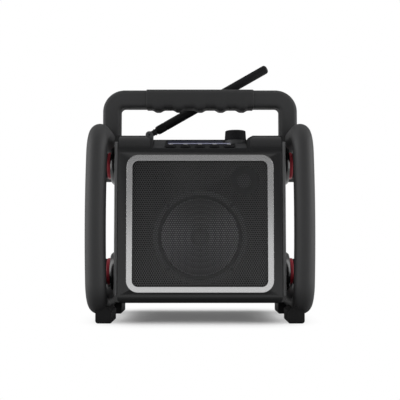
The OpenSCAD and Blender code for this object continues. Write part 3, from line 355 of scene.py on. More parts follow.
HANDLE = Finish("handle_plastic", (0.040, 0.0402, 0.041), 0.62, specular=0.18)
GRIP = Finish("grip_rubber", (0.035, 0.0352, 0.036), 0.68, specular=0.18)
GUARD = Finish("guard_rubber", (0.026, 0.0262, 0.027), 0.60, specular=0.40)
COLLAR = Finish("collar_plastic", (0.008, 0.008, 0.009), 0.55, specular=0.2)
RED = Finish("ring_red", (0.34, 0.016, 0.030), 0.40, coat=0.1)
FOOT = Finish("foot_rubber", (0.010, 0.010, 0.0105), 0.65, specular=0.25)
CELL = Finish("cell_steel", (0.16, 0.165, 0.17), 0.35, 0.7)
ALUMINIUM = Finish("heat_sink_aluminium", (0.50, 0.51, 0.52), 0.35, 1.0, Effect.BRUSH)
LENS = Finish(
    "window", (0.014, 0.016, 0.028), 0.40, texture_scale=200.0, bump_height=0.0, gloss_change=0.0, specular=0.03,
)
# Painted highlight: the pale strip on the window's front edge stands in for the glint along the lens's edge.
PAINTED_LENS_HIGHLIGHT = Finish(
    "window", (0.44, 0.45, 0.62), 0.30, texture_scale=200.0, bump_height=0.0, gloss_change=0.0, label="painted_window_glint",
)
DISPLAY = Finish("display_glass", (0.10, 0.14, 0.22), 0.22, texture_scale=200.0, bump_height=0.0)


# ---- Meshes


def make_object(name: str, mesh: bpy.types.Mesh) -> Thing:
    """Links a mesh as an object at the origin, unturned and unscaled.

    Args:
        name: the object's name.
        mesh: its mesh.

    Returns:
        The object.
    """
    made = bpy.data.objects.new(name, mesh)
    bpy.context.scene.collection.objects.link(made)
    return made


def smooth(mesh: bpy.types.Mesh, angle: float) -> None:
    """Shades a mesh smooth, with edges sharper than angle degrees left sharp."""
    mesh.shade_smooth()
    mesh.set_sharp_from_angle(angle=math.radians(angle))


def mesh_from(name: str, build: bmesh.types.BMesh, angle: float = 35.0) -> Thing:
    """Turns a bmesh into an object.

    Args:
        name: the object's name.
        build: the bmesh, which is freed.
        angle: edges sharper than this many degrees stay sharp.

    Returns:
        The object.
    """
    mesh = bpy.data.meshes.new(name)
    build.to_mesh(mesh)
    build.free()
    smooth(mesh, angle)
    return make_object(name, mesh)


def settle(made: Thing) -> None:
    """Applies every modifier of an object by taking its evaluated mesh.

    Args:
        made: the object.
    """
    bpy.context.view_layer.update()
    result = made.evaluated_get(bpy.context.evaluated_depsgraph_get())
    mesh = bpy.data.meshes.new_from_object(result)
    made.modifiers.clear()
    made.data = mesh
    mesh.name = made.name


def dress(made: Thing, host: str, finish: Finish, replace: bool = True) -> None:
    """Gives a finished piece its material and body.

    Args:
        made: the piece.
        host: the CAD node whose body it moves with.
        finish: its finish.
        replace: whether it stands for that node.
    """
    body = frame["nodes"][host]["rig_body"]
    made.data.materials.clear()
    made.data.materials.append(finish.material())
    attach(made, body)
    if replace:
        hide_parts(host)
    LOG.info("%s: %d faces on %s", made.name, len(made.data.polygons), body)


def polished(node: str, finish: Finish, edge: float = 0.4 * MM, segments: int = 2) -> None:
    """Stands for a CAD node with a copy whose edges are rounded and whose curves are smooth.

    Args:
        node: the CAD node.
        finish: the copy's finish.
        edge: the radius of its rounded edges.
        segments: how many steps a rounded edge has.
    """
    merge, flat, sharp = 0.002 * MM, math.radians(0.5), math.radians(32.0)
    build = bmesh.new()
    build.from_mesh(frame["nodes"][node].data)
    bmesh.ops.remove_doubles(build, verts=build.verts, dist=merge)
    bmesh.ops.dissolve_degenerate(build, edges=build.edges, dist=merge)
    bmesh.ops.dissolve_limit(build, angle_limit=flat, verts=build.verts, edges=build.edges)
    made = mesh_from(node + "_dressed", build)
    if edge > 0:
        bevel = made.modifiers.new("edge", "BEVEL")
        bevel.width, bevel.segments = edge, segments
        bevel.limit_method, bevel.angle_limit = "ANGLE", sharp
        bevel.use_clamp_overlap = bevel.harden_normals = True
        settle(made)
    dress(made, node, finish)


def plain(node: str, finish: Finish) -> None:
    """Leaves a CAD node in place and gives it its finish.

    Args:
        node: the CAD node.
        finish: its finish.
    """
    cad = frame["nodes"][node]
    cad.data.materials.clear()
    cad.data.materials.append(finish.material())
    LOG.info("%s: CAD node with %s", node, finish.name)


def arc(centre: Pair, radius: float, first: float, last: float, steps: int) -> list[Pair]:
    """Points along an arc in a plane.

    Args:
        centre: the arc's centre.
        radius: its radius.
        first: its first angle, in degrees.
        last: its last angle, in degrees.
        steps: the number of stretches between its points.

    Returns:
        steps + 1 points.
    """
    angles = [math.radians(first + (last - first) * i / steps) for i in range(steps + 1)]
    return [(centre[0] + radius * math.cos(a), centre[1] + radius * math.sin(a)) for a in angles]


def round_rect(width: float, height: float, radius: float, steps: int = 8) -> list[Pair]:
    """Outline of a rectangle with round corners, centred, anticlockwise.

    Args:
        width: its width.
        height: its height.
        radius: the radius of its corners.
        steps: the number of stretches in each corner.

    Returns:
        Its points.
    """
    x, y = width / 2 - radius, height / 2 - radius
    corners = [((x, -y), -90.0), ((x, y), 0.0), ((-x, y), 90.0), ((-x, -y), 180.0)]
    return [p for centre, start in corners for p in arc(centre, radius, start, start + 90.0, steps)]


def span(node: str, axis: str) -> float:
    """How far a CAD node reaches along an axis."""
    low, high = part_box(node)
    return getattr(high, axis) - getattr(low, axis)


def loft(build: bmesh.types.BMesh, rings: Rings, closed: bool) -> None:
    """Joins rings of points with quads.

    Args:
        build: the bmesh to add to.
        rings: rings with equal numbers of points, in order.
        closed: whether the last ring joins the first; otherwise both get a face.
    """
    made = [[build.verts.new(p) for p in ring] for ring in rings]
    for low, high in zip(made, made[1:] + made[:closed]):
        for i in range(len(low)):
            j = (i + 1) % len(low)
            build.faces.new((low[i], low[j], high[j], high[i]))
    if not closed:
        build.faces.new(list(reversed(made[0])))
        build.faces.new(made[-1])


def lofted(name: str, runs: list[Rings], angle: float = 35.0, closed: bool = False) -> Thing:
    """Makes a piece of one or more lofts.

    Args:
        name: the piece's name.
        runs: each loft's rings, with equal numbers of points, in order.
        angle: edges sharper than this many degrees stay sharp.
        closed: whether the last ring joins the first.

    Returns:
        The piece, with its normals outward.
    """
    build = bmesh.new()
    for rings in runs:
        loft(build, rings, closed)
    bmesh.ops.recalc_face_normals(build, faces=build.faces)
    return mesh_from(name, build, angle)


def lathe(name: str, profile: list[Pair], place: Matrix, steps: int = 64, angle: float = 35.0) -> Thing:
    """Turns an open profile about an axis.

    Args:
        name: the object's name.
        profile: (radius, height) points; a radius of 0 closes the shape on the axis.
        place: puts the turned shape, whose axis is Z, where it belongs.
        steps: the number of stretches round it.
        angle: edges sharper than this many degrees stay sharp.

    Returns:
        The object, with its place in its mesh.
    """
    build = bmesh.new()
    turn = [2 * math.pi * i / steps for i in range(steps)]
    rings = []
    for radius, height in profile:
        points = [(radius * math.cos(a), radius * math.sin(a), height) for a in turn] if radius else [(0, 0, height)]
        rings.append([build.verts.new(p) for p in points])
    for low, high in zip(rings, rings[1:]):
        for i in range(steps):
            j = (i + 1) % steps
            corners = [low[i % len(low)], low[j % len(low)], high[j % len(high)], high[i % len(high)]]
            build.faces.new(list(dict.fromkeys(corners)))
    bmesh.ops.recalc_face_normals(build, faces=build.faces)
    build.transform(place)
    return mesh_from(name, build, angle)


def facing_front(node: str) -> Matrix:
    """Places a turned shape whose axis points to the rear.

    Args:
        node: the CAD node at whose front it starts.

    Returns:
        Its place.
    """
    low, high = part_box(node)
    centre = (low + high) / 2
    return Matrix.Translation((centre.x, low.y, centre.z)) @ Matrix.Rotation(math.radians(-90), 4, "X")


# ---- Geometry Nodes


class Grower(Group):
    """A Geometry Nodes tree with named inputs that turns into one mesh."""

    def __init__(self, name: str, finish: Finish, **sizes: object) -> None:
        """Starts a tree.

        Args:
            name: the tree's name.
            finish: the finish that Set Material gives at its end.
            sizes: its named inputs and their values: numbers, whole numbers or vectors.
        """
        super().__init__(name, "Geometry", {"Geometry": None, **sizes}, {"Geometry": None})
        self.finish = finish
        self.sizes = sizes

    def vector(self, operation: str, first: object, second: object = None) -> Socket:
        """Adds a Vector Math node.

        Args:
            operation: the node's operation.
            first: its first input, a link or a vector.
            second: its second input; for SCALE it is the factor.

        Returns:
            The node's result, a number for LENGTH.
        """
        inputs = {0: first}
        if second is not None:
            inputs["Scale" if operation == "SCALE" else 1] = second
        made = self.node("ShaderNodeVectorMath", inputs, operation=operation)
        return made.outputs["Value" if operation == "LENGTH" else "Vector"]

    def welded(self, geometry: Socket) -> Socket:
        """Merges the points of a geometry that share a place."""
        return self.node("GeometryNodeMergeByDistance", {0: geometry, "Distance": WELD}).outputs[0]

    def joined(self, *parts: Socket) -> Socket:
        """Joins geometries.

        Args:
            parts: the geometries.

        Returns:
            All of them as one.
        """
        both = self.node("GeometryNodeJoinGeometry")
        for part in parts:
            self.feed(both, {0: part})
        return both.outputs[0]

    def grow(self, geometry: Socket, name: str, path: object = None, angle: float = 35.0) -> Thing:
        """Closes the tree with Realize Instances and Set Material, and takes its mesh.

        Args:
            geometry: the tree's geometry.
            name: the new object's name.
            path: a mesh that the tree takes in, or None.
            angle: edges sharper than this many degrees stay sharp.

        Returns:
            The object, with no modifier left.
        """
        real = self.node("GeometryNodeRealizeInstances", {0: geometry}).outputs[0]
        paint = self.node("GeometryNodeSetMaterial", {0: real, "Material": self.finish.material()})
        self.give({"Geometry": paint.outputs[0]})
        made = make_object(name, path or bpy.data.meshes.new(name))
        modifier = made.modifiers.new("grow", "NODES")
        modifier.node_group = self.tree
        for item in self.tree.interface.items_tree:
            if item.in_out == "INPUT" and item.name in self.sizes:
                modifier[item.identifier] = self.sizes[item.name]
        settle(made)
        smooth(made.data, angle)
        return made


# ---- Sub-assemblies


class SubAssembly:
    """One sub-assembly of the radio."""

    def build(self) -> None:
        """Makes and dresses its pieces."""
        raise NotImplementedError


@dataclass
class Housing(SubAssembly):
    """Front and rear shells with the gasket and screws between them."""

    edge: float = 0.8 * MM
    rim_x: Pair = (108.4 * MM, 113.1 * MM)
    rim_y: Pair = (-82.2 * MM, -76.5 * MM)
    rim_z: Pair = (36.0 * MM, 238.0 * MM)
    rim_round: float = 3.2 * MM
    rim_chamfer: float = 0.4 * MM

    def build(self) -> None:
        """Rounds the shells' edges and dresses what joins them."""
        polished("front_shell", HOUSING, self.edge)
        polished("rear_shell", HOUSING, self.edge)
        plain("shell_gasket", SEAL)
        polished("shell_screws", STEEL, 0.2 * MM)
        plain("main_board", BOARD)
        plain("heat_sink", ALUMINIUM)
        self._rims()

    def _rims(self) -> None:
        """The rounded lip down each side of the rear shell's front edge, painted pale as a highlight."""
        (x0, x1), (y0, y1) = self.rim_x, self.rim_y
        outer = arc((x1 - self.rim_round, y0 + self.rim_round), self.rim_round, 0, -90, 8)
        section = [(x0, y1), (x1, y1)] + outer + [(x0 + self.rim_chamfer, y0), (x0, y0 + self.rim_chamfer)]
        runs = [[[Vector((side * x, y, z)) for x, y in section] for z in self.rim_z] for side in (-1, 1)]
        dress(lofted("painted_rim_highlights", runs, 50.0), "rear_shell", PAINTED_RIM_HIGHLIGHT, False)


@dataclass
class FrontFace(SubAssembly):
    """Silver trim frame with the perforated grille behind it."""

    pitch: float = 3.0 * MM
    hole: float = 1.1 * MM
    sheet: float = 0.6 * MM
    hole_sides: int = 8
    corner: float = 8.1 * MM
    lip: float = 1.7 * MM
    rebate: float = 2.0 * MM
    band_round: float = 0.4 * MM
    liner: float = 0.2 * MM
    overlap: float = 0.05 * MM

    def build(self) -> None:
        """Makes the frame and the grille."""
        self._frame()
        self._grille()

    @property
    def opening(self) -> Pair:
        """Width and height of the frame's opening, from the grille's own box less its rebate."""
        return span("grille", "x") - 2 * self.rebate, span("grille", "z") - 2 * self.rebate

    def _frame(self) -> None:
        """The frame, a band with rounded edges, and a near-black lining over the wall inside its opening."""
        low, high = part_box("trim_frame")
        band = (high.x - low.x - self.opening[0]) / 2
        y_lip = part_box("grille")[0].y
        outer, inner = self.band_round, self.band_round * 0.6
        section = [(0.0, high.y)] + arc((outer, low.y + outer), outer, 180, 270, 5)
        section += arc((band - inner, low.y + inner), inner, 270, 360, 4)
        section += [(band, y_lip), (band - self.rebate, y_lip), (band - self.rebate, high.y)]
        self._swept("trim_band", section, band, SILVER, 10.0)
        near, far = band - self.overlap, band + self.liner
        lining = [(near, low.y + outer), (far, low.y + outer), (far, y_lip), (near, y_lip)]
        self._swept("trim_lining", lining, band, LINING, 40.0)

    def _swept(self, name: str, section: list[Pair], band: float, finish: Finish, angle: float) -> None:
        """Sweeps a section round the frame's outline and dresses it.

        Args:
            name: the piece's name.
            section: (distance inwards, depth) points.
            band: the frame's width.
            finish: the piece's finish; the silver one stands for the frame.
            angle: edges sharper than this many degrees stay sharp.
        """
        low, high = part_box("trim_frame")
        size = (high.x - low.x, high.z - low.z, self.corner + band)
        middle = (low.z + high.z) / 2
        rings = []
        for x, z in round_rect(*size, 16):
            dx, dz = self._inward(x, z, *size)
            rings.append([Vector((x + dx * s, y, middle + z + dz * s)) for s, y in section])
        dress(lofted(name, [rings], angle, True), "trim_frame", finish, finish is SILVER)

    @staticmethod
    def _inward(x: float, z: float, width: float, height: float, radius: float) -> Pair:
        """Finds the direction that points inwards from the edge of a round rectangle.

        Args:
            x, z: the point of the edge.
            width, height, radius: the rectangle's size and the radius of its corners.

        Returns:
            The direction, of length 1.
        """
        dx = max(abs(x) - (width / 2 - radius), 0.0) * math.copysign(1, x)
        dz = max(abs(z) - (height / 2 - radius), 0.0) * math.copysign(1, z)
        size = math.hypot(dx, dz)
        return -dx / size, -dz / size

    def _grille(self) -> None:
        """The sheet: hexagonal cells with a round hole each, kept inside a round rectangle."""
        low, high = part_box("grille")
        width, height = self.opening
        tree = Grower(
            "perforated_sheet", GRILLE, Pitch=self.pitch, Hole=self.hole, Sides=self.hole_sides,
            Columns=int(width / self.pitch) + 3, Rows=int(height / (self.pitch * math.sqrt(0.75))) + 3,
            Half=Vector((width / 2 + self.lip, height / 2 + self.lip, 0.0)), Corner=self.corner + self.lip,
            Thickness=self.sheet, Place=Vector((0.0, low.y, (low.z + high.z) / 2)),
        )
        kept = self._kept_inside(tree, self._cells(tree))
        front = tree.node("GeometryNodeFlipFaces", {0: kept}).outputs[0]
        extrusion = {0: kept, "Individual": False, "Offset Scale": tree.given["Thickness"]}
        wall = tree.node("GeometryNodeExtrudeMesh", extrusion).outputs["Mesh"]
        turn = {"Rotation": (math.radians(90), 0.0, 0.0), "Translation": tree.given["Place"]}
        turned = tree.node("GeometryNodeTransform", {0: tree.welded(tree.joined(front, wall)), **turn})
        dress(tree.grow(turned.outputs[0], "grille_sheet", angle=30.0), "grille", GRILLE)

    @staticmethod
    def _cells(tree: Grower) -> Socket:
        """Lays a hexagonal cell with a hole at each place of a staggered field of points.

        Args:
            tree: the sheet's tree.

        Returns:
            The cells, joined along their edges.
        """
        given, index = tree.given, tree.node("GeometryNodeInputIndex").outputs[0]
        row = tree.math("FLOOR", tree.math("DIVIDE", tree.math("ADD", index, 0.5), given["Columns"]))
        column = tree.math("SUBTRACT", index, tree.math("MULTIPLY", row, given["Columns"]))
        shift = tree.math("MULTIPLY", tree.math("MODULO", row, 2.0), 0.5)
        middle = tree.math("MULTIPLY", tree.math("SUBTRACT", given["Columns"], 0.5), 0.5)
        across = tree.math("SUBTRACT", tree.math("ADD", column, shift), middle)
        up = tree.math("SUBTRACT", row, tree.math("MULTIPLY", given["Rows"], 0.5))
        row_step = tree.math("MULTIPLY", given["Pitch"], math.sqrt(0.75))
        x, y = tree.math("MULTIPLY", across, given["Pitch"]), tree.math("MULTIPLY", up, row_step)
        spot = tree.node("ShaderNodeCombineXYZ", {"X": x, "Y": y}).outputs[0]
        count = tree.math("MULTIPLY", given["Columns"], given["Rows"])
        points = tree.node("GeometryNodePoints", {"Count": count, "Position": spot})
        reach = tree.math("DIVIDE", given["Pitch"], math.sqrt(3))
        rim = tree.node("GeometryNodeCurvePrimitiveCircle", {"Resolution": 6, "Radius": reach})
        turn = {0: rim.outputs[0], "Rotation": (0.0, 0.0, math.radians(30))}
        turned = tree.node("GeometryNodeTransform", turn).outputs[0]
        hole = tree.node("GeometryNodeCurvePrimitiveCircle", {"Resolution": given["Sides"], "Radius": given["Hole"]})
        cell = tree.node("GeometryNodeFillCurve", {0: tree.joined(turned, hole.outputs[0])}).outputs[0]
        placed = tree.node("GeometryNodeInstanceOnPoints", {0: points.outputs[0], "Instance": cell}).outputs[0]
        return tree.welded(tree.node("GeometryNodeRealizeInstances", {0: placed}).outputs[0])

    @staticmethod
    def _kept_inside(tree: Grower, cells: Socket) -> Socket:
        """Moves points from outside the round rectangle to its edge and drops flattened faces.

        Args:
            tree: the sheet's tree.
            cells: the sheet.

        Returns:
            The sheet, inside its outline.
        """
        in_plane, smallest = Vector((1.0, 1.0, 0.0)), 1e-10
        inner = tree.vector("SUBTRACT", tree.given["Half"], tree.given["Corner"])
        place = tree.node("GeometryNodeInputPosition").outputs[0]
        core = tree.vector("MAXIMUM", tree.vector("MINIMUM", place, inner), tree.vector("SCALE", inner, -1.0))
        core = tree.vector("MULTIPLY", core, in_plane)
        away = tree.vector("MULTIPLY", tree.vector("SUBTRACT", place, core), in_plane)
        reach = tree.math("MINIMUM", tree.vector("LENGTH", away), tree.given["Corner"])
        edge = tree.vector("SCALE", tree.vector("NORMALIZE", away), reach)
        moved = tree.node("GeometryNodeSetPosition", {0: cells, "Position": tree.vector("ADD", core, edge)})
        area = tree.node("GeometryNodeInputMeshFaceArea").outputs[0]
        flat = tree.node("FunctionNodeCompare", {0: area, 1: smallest}, operation="LESS_THAN").outputs[0]
        flatless = {0: moved.outputs[0], "Selection": flat}
        return tree.welded(tree.node("GeometryNodeDeleteGeometry", flatless, domain="FACE").outputs[0])


@dataclass
class Speakers(SubAssembly):
    """Woofer and tweeter behind the grille."""

    cone_bow: float = 2.2 * MM
    cone_ribs: int = 5
    cone_steps: int = 48
    cone_thick: float = 0.7 * MM
    rib_height: float = 0.35 * MM
    coil_wall: float = 0.6 * MM
    roll_wall: float = 0.8 * MM

    def build(self) -> None:
        """Makes the cone and its roll as turned shapes and dresses the rest."""
        polished("woofer_basket", SPEAKER_STEEL, 0.3 * MM)
        self._cone()
        self._surround()
        polished("woofer_dust_cap", DUST_CAP, 0.0)
        plain("woofer_magnet", SPEAKER_STEEL)
        polished("woofer_screws", DARK_STEEL, 0.15 * MM)
        polished("tweeter_plate", DARK_PLASTIC, 0.3 * MM)
        polished("tweeter_dome", DOME, 0.0)
        plain("tweeter_magnet", SPEAKER_STEEL)

    def _cone(self) -> None:
        """The cone: bowed between rim and neck, with pressed ring ribs, and its coil former."""
        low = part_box("woofer_cone")[0]
        rim, neck = span("woofer_cone", "x") / 2, span("woofer_dust_cap", "x") / 2 + self.coil_wall
        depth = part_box("woofer_dust_cap")[1].y - low.y
        front = []
        for i in range(self.cone_steps + 1):
            t = i / self.cone_steps
            bow = self.cone_bow * math.sin(math.pi * t)
            rib = self.rib_height * max(0.0, math.sin(2 * math.pi * self.cone_ribs * t)) ** 2
            front.append((rim + (neck - rim) * t, depth * t + bow - rib))
        back = [(r, h + self.cone_thick) for r, h in reversed(front[:-1])]
        place, root, end = facing_front("woofer_cone"), (neck, depth + self.cone_thick), span("woofer_cone", "y")
        dress(lathe("cone_front", front + [root] + back + front[:1], place, 96), "woofer_cone", CONE)
        former = [root, (neck, end), (neck - self.coil_wall, end), (neck - self.coil_wall, root[1]), root]
        dress(lathe("coil_former", former, place, 48), "woofer_cone", CONE, False)

    def _surround(self) -> None:
        """The rubber half-roll between cone and basket, with a flat lip on each side."""
        roll = span("woofer_surround", "y")
        middle = span("woofer_surround", "x") / 2 - roll
        half = [arc((middle, roll), radius, 180, 360, 16) for radius in (roll, roll - self.roll_wall)]
        outline = half[0][::-1] + half[1] + half[0][-1:]
        made = lathe("surround_roll", outline, facing_front("woofer_surround"), 96)
        dress(made, "woofer_surround", SEAL)


@dataclass
class ControlDeck(SubAssembly):
    """Sloped deck with its display, buttons and volume knob."""

    slope: float = math.atan2(20.0, 61.0)
    foot: Pair = (-98.0 * MM, 227.0 * MM)
    edge_x: Pair = (-42.6 * MM, 41.5 * MM)
    edge_up: Pair = (35.4 * MM, 36.8 * MM)
    edge_level: Pair = (-1.0 * MM, 0.3 * MM)
    flank_x: Pair = (47.0 * MM, 61.5 * MM)
    flank_up: tuple[Pair, ...] = ((2.5 * MM, 62.0 * MM), (2.5 * MM, 32.5 * MM))
    flank_level: Pair = (-0.15 * MM, 0.35 * MM)
    mark_half: float = 2.6 * MM
    mark_up: tuple[Pair, ...] = ((12.8 * MM, 14.3 * MM), (15.2 * MM, 16.7 * MM))
    mark_level: Pair = (2.4 * MM, 3.05 * MM)
    knob_flutes: int = 36
    flute_depth: float = 0.25 * MM
    knob_grow: float = 0.5 * MM
    knob_taper: float = 0.8 * MM
    knob_crown: float = 1.4 * MM
    buttons: tuple[int, ...] = (1, 2, 3, 4, 5)

    def build(self) -> None:
        """Dresses the deck and makes what is on it."""
        polished("control_deck", DECK, 0.5 * MM)
        polished("display_lens", LENS, 0.3 * MM)
        self._trims()
        polished("lcd_module", DISPLAY, 0.2 * MM)
        plain("button_board", BOARD)
        for i in self.buttons:
            polished(f"button_{i}", BUTTON, 0.5 * MM, 3)
        self._knob()
        polished("knob_collar", COLLAR_RING, 0.4 * MM)
        polished("rotary_encoder", STEEL, 0.2 * MM)
        plain("encoder_shaft", STEEL)

    def _plate(self, name: str, spans: list[Pair], rises: tuple[Pair, ...], levels: Pair, corner: float) -> Thing:
        """Makes plates that lie on the slope.

        Args:
            name: the piece's name.
            spans: each plate's two ends along X.
            rises: each plate's two ends up the slope, from the slope's foot.
            levels: the plates' underside and top, out of the slope.
            corner: the radius of their long edges.

        Returns:
            The piece, not yet dressed.
        """
        up = Vector((0.0, math.cos(self.slope), math.sin(self.slope)))
        out = Vector((0.0, -math.sin(self.slope), math.cos(self.slope)))
        runs = []
        for ends, (near, far) in zip(spans, rises):
            middle = Vector((0.0, *self.foot)) + up * ((near + far) / 2) + out * (sum(levels) / 2)
            outline = round_rect(far - near, levels[1] - levels[0], corner, 3)
            runs.append([[middle + Vector((x, 0.0, 0.0)) + up * u + out * v for u, v in outline] for x in ends])
        return lofted(name, runs)

    def _trims(self) -> None:
        """The window's front edge and the flanks as painted highlights, and the marks on the buttons."""
        # Painted highlights: a pale strip on the window's front edge and pale plates on the flanks.
        edge = self._plate("painted_window_glint", [self.edge_x], (self.edge_up,), self.edge_level, 0.35 * MM)
        dress(edge, "display_lens", PAINTED_LENS_HIGHLIGHT, False)
        spans = [tuple(side * x for x in self.flank_x) for side in (-1, 1)]
        flanks = self._plate("painted_flank_highlights", spans, self.flank_up, self.flank_level, 0.2 * MM)
        dress(flanks, "control_deck", PAINTED_FLANK_HIGHLIGHT, False)
        for i in self.buttons:
            low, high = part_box(f"button_{i}")
            middle = (low.x + high.x) / 2
            ends = (middle - self.mark_half, middle + self.mark_half)
            mark = self._plate(f"button_mark_{i}", [ends, ends], self.mark_up, self.mark_level, 0.1 * MM)
            dress(mark, f"button_{i}", MARK, False)

    def _knob(self) -> None:
        """The knob: fluted round its side, with a smooth crown."""
        low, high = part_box("volume_knob")
        centre = (low + high) / 2
        foot, height, crown = (high.x - low.x) / 2 + self.knob_grow, high.z - low.z, self.knob_crown
        top = foot - self.knob_taper
        side = [(foot, 0.0, 0.0), (foot, 0.7 * MM, 0.0), (foot - 0.1 * MM, 1.3 * MM, 1.0)]
        side += [(top + 0.1 * MM, height - 2.6 * MM, 1.0), (top, height - 1.9 * MM, 0.0)]
        side += [(r, h, 0.0) for r, h in arc((top - crown, height - crown), crown, 0, 90, 6)]
        side += [(top - 2.2 * MM, height, 0.0), (top - 2.8 * MM, height - 0.35 * MM, 0.0)]
        steps = self.knob_flutes * 6
        turn = [2 * math.pi * i / steps for i in range(steps)]
        rings = []
        for radius, level, fluted in side:
            dips = [self.flute_depth * fluted * max(0.0, math.cos(a * self.knob_flutes)) ** 2 for a in turn]
            around = [Vector((math.cos(a), math.sin(a), 0.0)) * (radius - dip) for a, dip in zip(turn, dips)]
            rings.append([Vector((centre.x, centre.y, low.z + level)) + p for p in around])
        dress(lofted("knob_fluted", [rings], 40.0), "volume_knob", BUTTON)


@dataclass
class Antenna(SubAssembly):
    """Swivelling post and the rubber-covered rod that tilts on it."""

    pivot: tuple[float, float, float] = (-0.0747, 0.030, 0.2629)
    angle: float = 29.9
    sleeve_start: float = 12.0 * MM
    shoulder: float = 18.0 * MM
    mouth: float = 5.0 * MM
    length: float = 200.8 * MM
    radius: float = 6.5 * MM
    tip: float = 4.0 * MM
    groove_depth: float = 0.35 * MM

    def build(self) -> None:
        """Dresses the post and the neck, and turns the sleeve."""
        plain("antenna_socket", STEEL)
        polished("antenna_base", LIGHT_PLASTIC, 0.7 * MM, 3)
        polished("antenna_pin", DARK_STEEL, 0.2 * MM)
        polished("antenna_neck", DARK_STEEL, 0.3 * MM)
        self._sleeve()

    def _sleeve(self) -> None:
        """The sleeve: a tapered root with a groove round it, a long body and a round tip."""
        r, start, end, groove = self.radius, self.sleeve_start, self.length, self.shoulder + 8.0 * MM
        floor, tip = r - self.groove_depth, self.tip
        profile = [(0.0, start), (self.mouth - 0.4 * MM, start), (self.mouth, start + 0.4 * MM)]
        profile += [(r - 0.4 * MM, start + 1.5 * MM), (r - 0.1 * MM, start + 3.5 * MM), (r, self.shoulder)]
        profile += [(r, groove), (floor, groove + 0.6 * MM), (floor, groove + 1.6 * MM)]
        profile += [(r, groove + 2.2 * MM), (r, end - 30.0 * MM)]
        profile += arc((r - tip, end - tip), tip, 0.0, 90.0, 10) + [(0.0, end)]
        place = Matrix.Translation(self.pivot) @ Matrix.Rotation(math.radians(90.0 - self.angle), 4, "Y")
        dress(lathe("antenna_rubber", profile, place, 48, 40.0), "antenna_sleeve", ANTENNA_RUBBER)


@dataclass
class Handle(SubAssembly):
    """Fixed handle over the top, its ribbed grip and its bolts."""

    thick: float = 25.0 * MM
    corner: float = 6.0 * MM
    bend: float = 6.0 * MM
    bend_steps: int = 20
    grip_proud: float = 1.3 * MM
    end_round: float = 1.2 * MM
    grip_step: float = 0.9 * MM
    rib_pitch: float = 30.0 * MM
    rib_width: float = 19.0 * MM
    rib_slope: float = 7.5 * MM
    rib_low: float = 3.0 * MM
    rib_side: float = 0.6 * MM
    rib_count: int = 5

    def build(self) -> None:
        """Sweeps the handle and the grip."""
        self._bar()
        self._grip()
        polished("handle_bolts", DARK_STEEL, 0.3 * MM)

    def _bar(self) -> None:
        """Legs and crossbar: one section swept up, across and down."""
        low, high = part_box("handle")
        thick, radius = self.thick, self.bend + self.thick / 2
        turn = (high.x - thick - self.bend, high.z - thick - self.bend)
        path = [(high.x - thick / 2, low.z, 0.0)]
        for i, (x, z) in enumerate(arc(turn, radius, 0, 90, self.bend_steps)):
            path.append((x, z, 90.0 * i / self.bend_steps))
        path += [(-x, z, 180.0 - a) for x, z, a in reversed(path)]
        section = round_rect(thick, high.y - low.y, self.corner)
        rings = []
        for x, z, angle in path:
            out = Vector((math.cos(math.radians(angle)), 0.0, math.sin(math.radians(angle))))
            rings.append([Vector((x, v, z)) + out * u for u, v in section])
        dress(lofted("handle_frame", [rings], 50.0), "handle", HANDLE)

    def _grip(self) -> None:
        """The grip: a swept sleeve whose ribs swell below and a little at its sides."""
        low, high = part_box("handle_grip")
        half_z, half_y = self.thick / 2 + self.grip_proud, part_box("handle")[1].y + self.grip_proud
        section = round_rect(2 * half_z, 2 * half_y, self.corner + self.grip_proud)
        ends = [low.x + self.end_round * (1 - math.cos(math.pi / 2 * i / 4)) for i in range(5)]
        inner, margin = int((high.x - low.x) / self.grip_step), 2.0 * MM
        middle = [low.x + margin + (high.x - low.x - 2 * margin) * i / inner for i in range(inner + 1)]
        rings = []
        for x in ends + middle + [-x for x in reversed(ends)]:
            swell = self._swell(x)
            inset = max(0.0, 1 - min(x - low.x, high.x - x) / self.end_round)
            shrink = self.end_round * (1 - math.sqrt(max(0.0, 1 - inset ** 2)))
            ring = []
            for up, side in section:
                below = max(0.0, min(1.0, (half_z * 0.55 - up) / (half_z * 1.1)))
                drop = self.rib_low * swell * min(1.0, max(0.0, -up / half_z)) ** 0.6
                wide = math.copysign(self.rib_side * swell * below, side)
                z = high.z - half_z + up * (1 - shrink / half_z) - drop
                ring.append(Vector((x, side * (1 - shrink / half_y) + wide, z)))
            rings.append(ring)
        dress(lofted("grip_sleeve", [rings], 50.0), "handle_grip", GRIP)

    def _swell(self, x: float) -> float:
        """Finds how far a rib stands out.

        Args:
            x: the place along the grip.

        Returns:
            0 between ribs to 1 on a rib.
        """
        middles = [(i - (self.rib_count - 1) / 2) * self.rib_pitch for i in range(self.rib_count)]
        t = max((self.rib_width / 2 - abs(x - middle)) / self.rib_slope for middle in middles)
        t = max(0.0, min(1.0, t))
        return t * t * (3 - 2 * t)


def merged(name: str, pieces: list[Thing]) -> Thing:
    """Joins pieces into one.

    Args:
        name: the new piece's name.
        pieces: the pieces, which are removed.

    Returns:
        The new piece.
    """
    build = bmesh.new()
    for piece in pieces:
        build.from_mesh(piece.data)
        bpy.data.objects.remove(piece)
    return mesh_from(name, build)


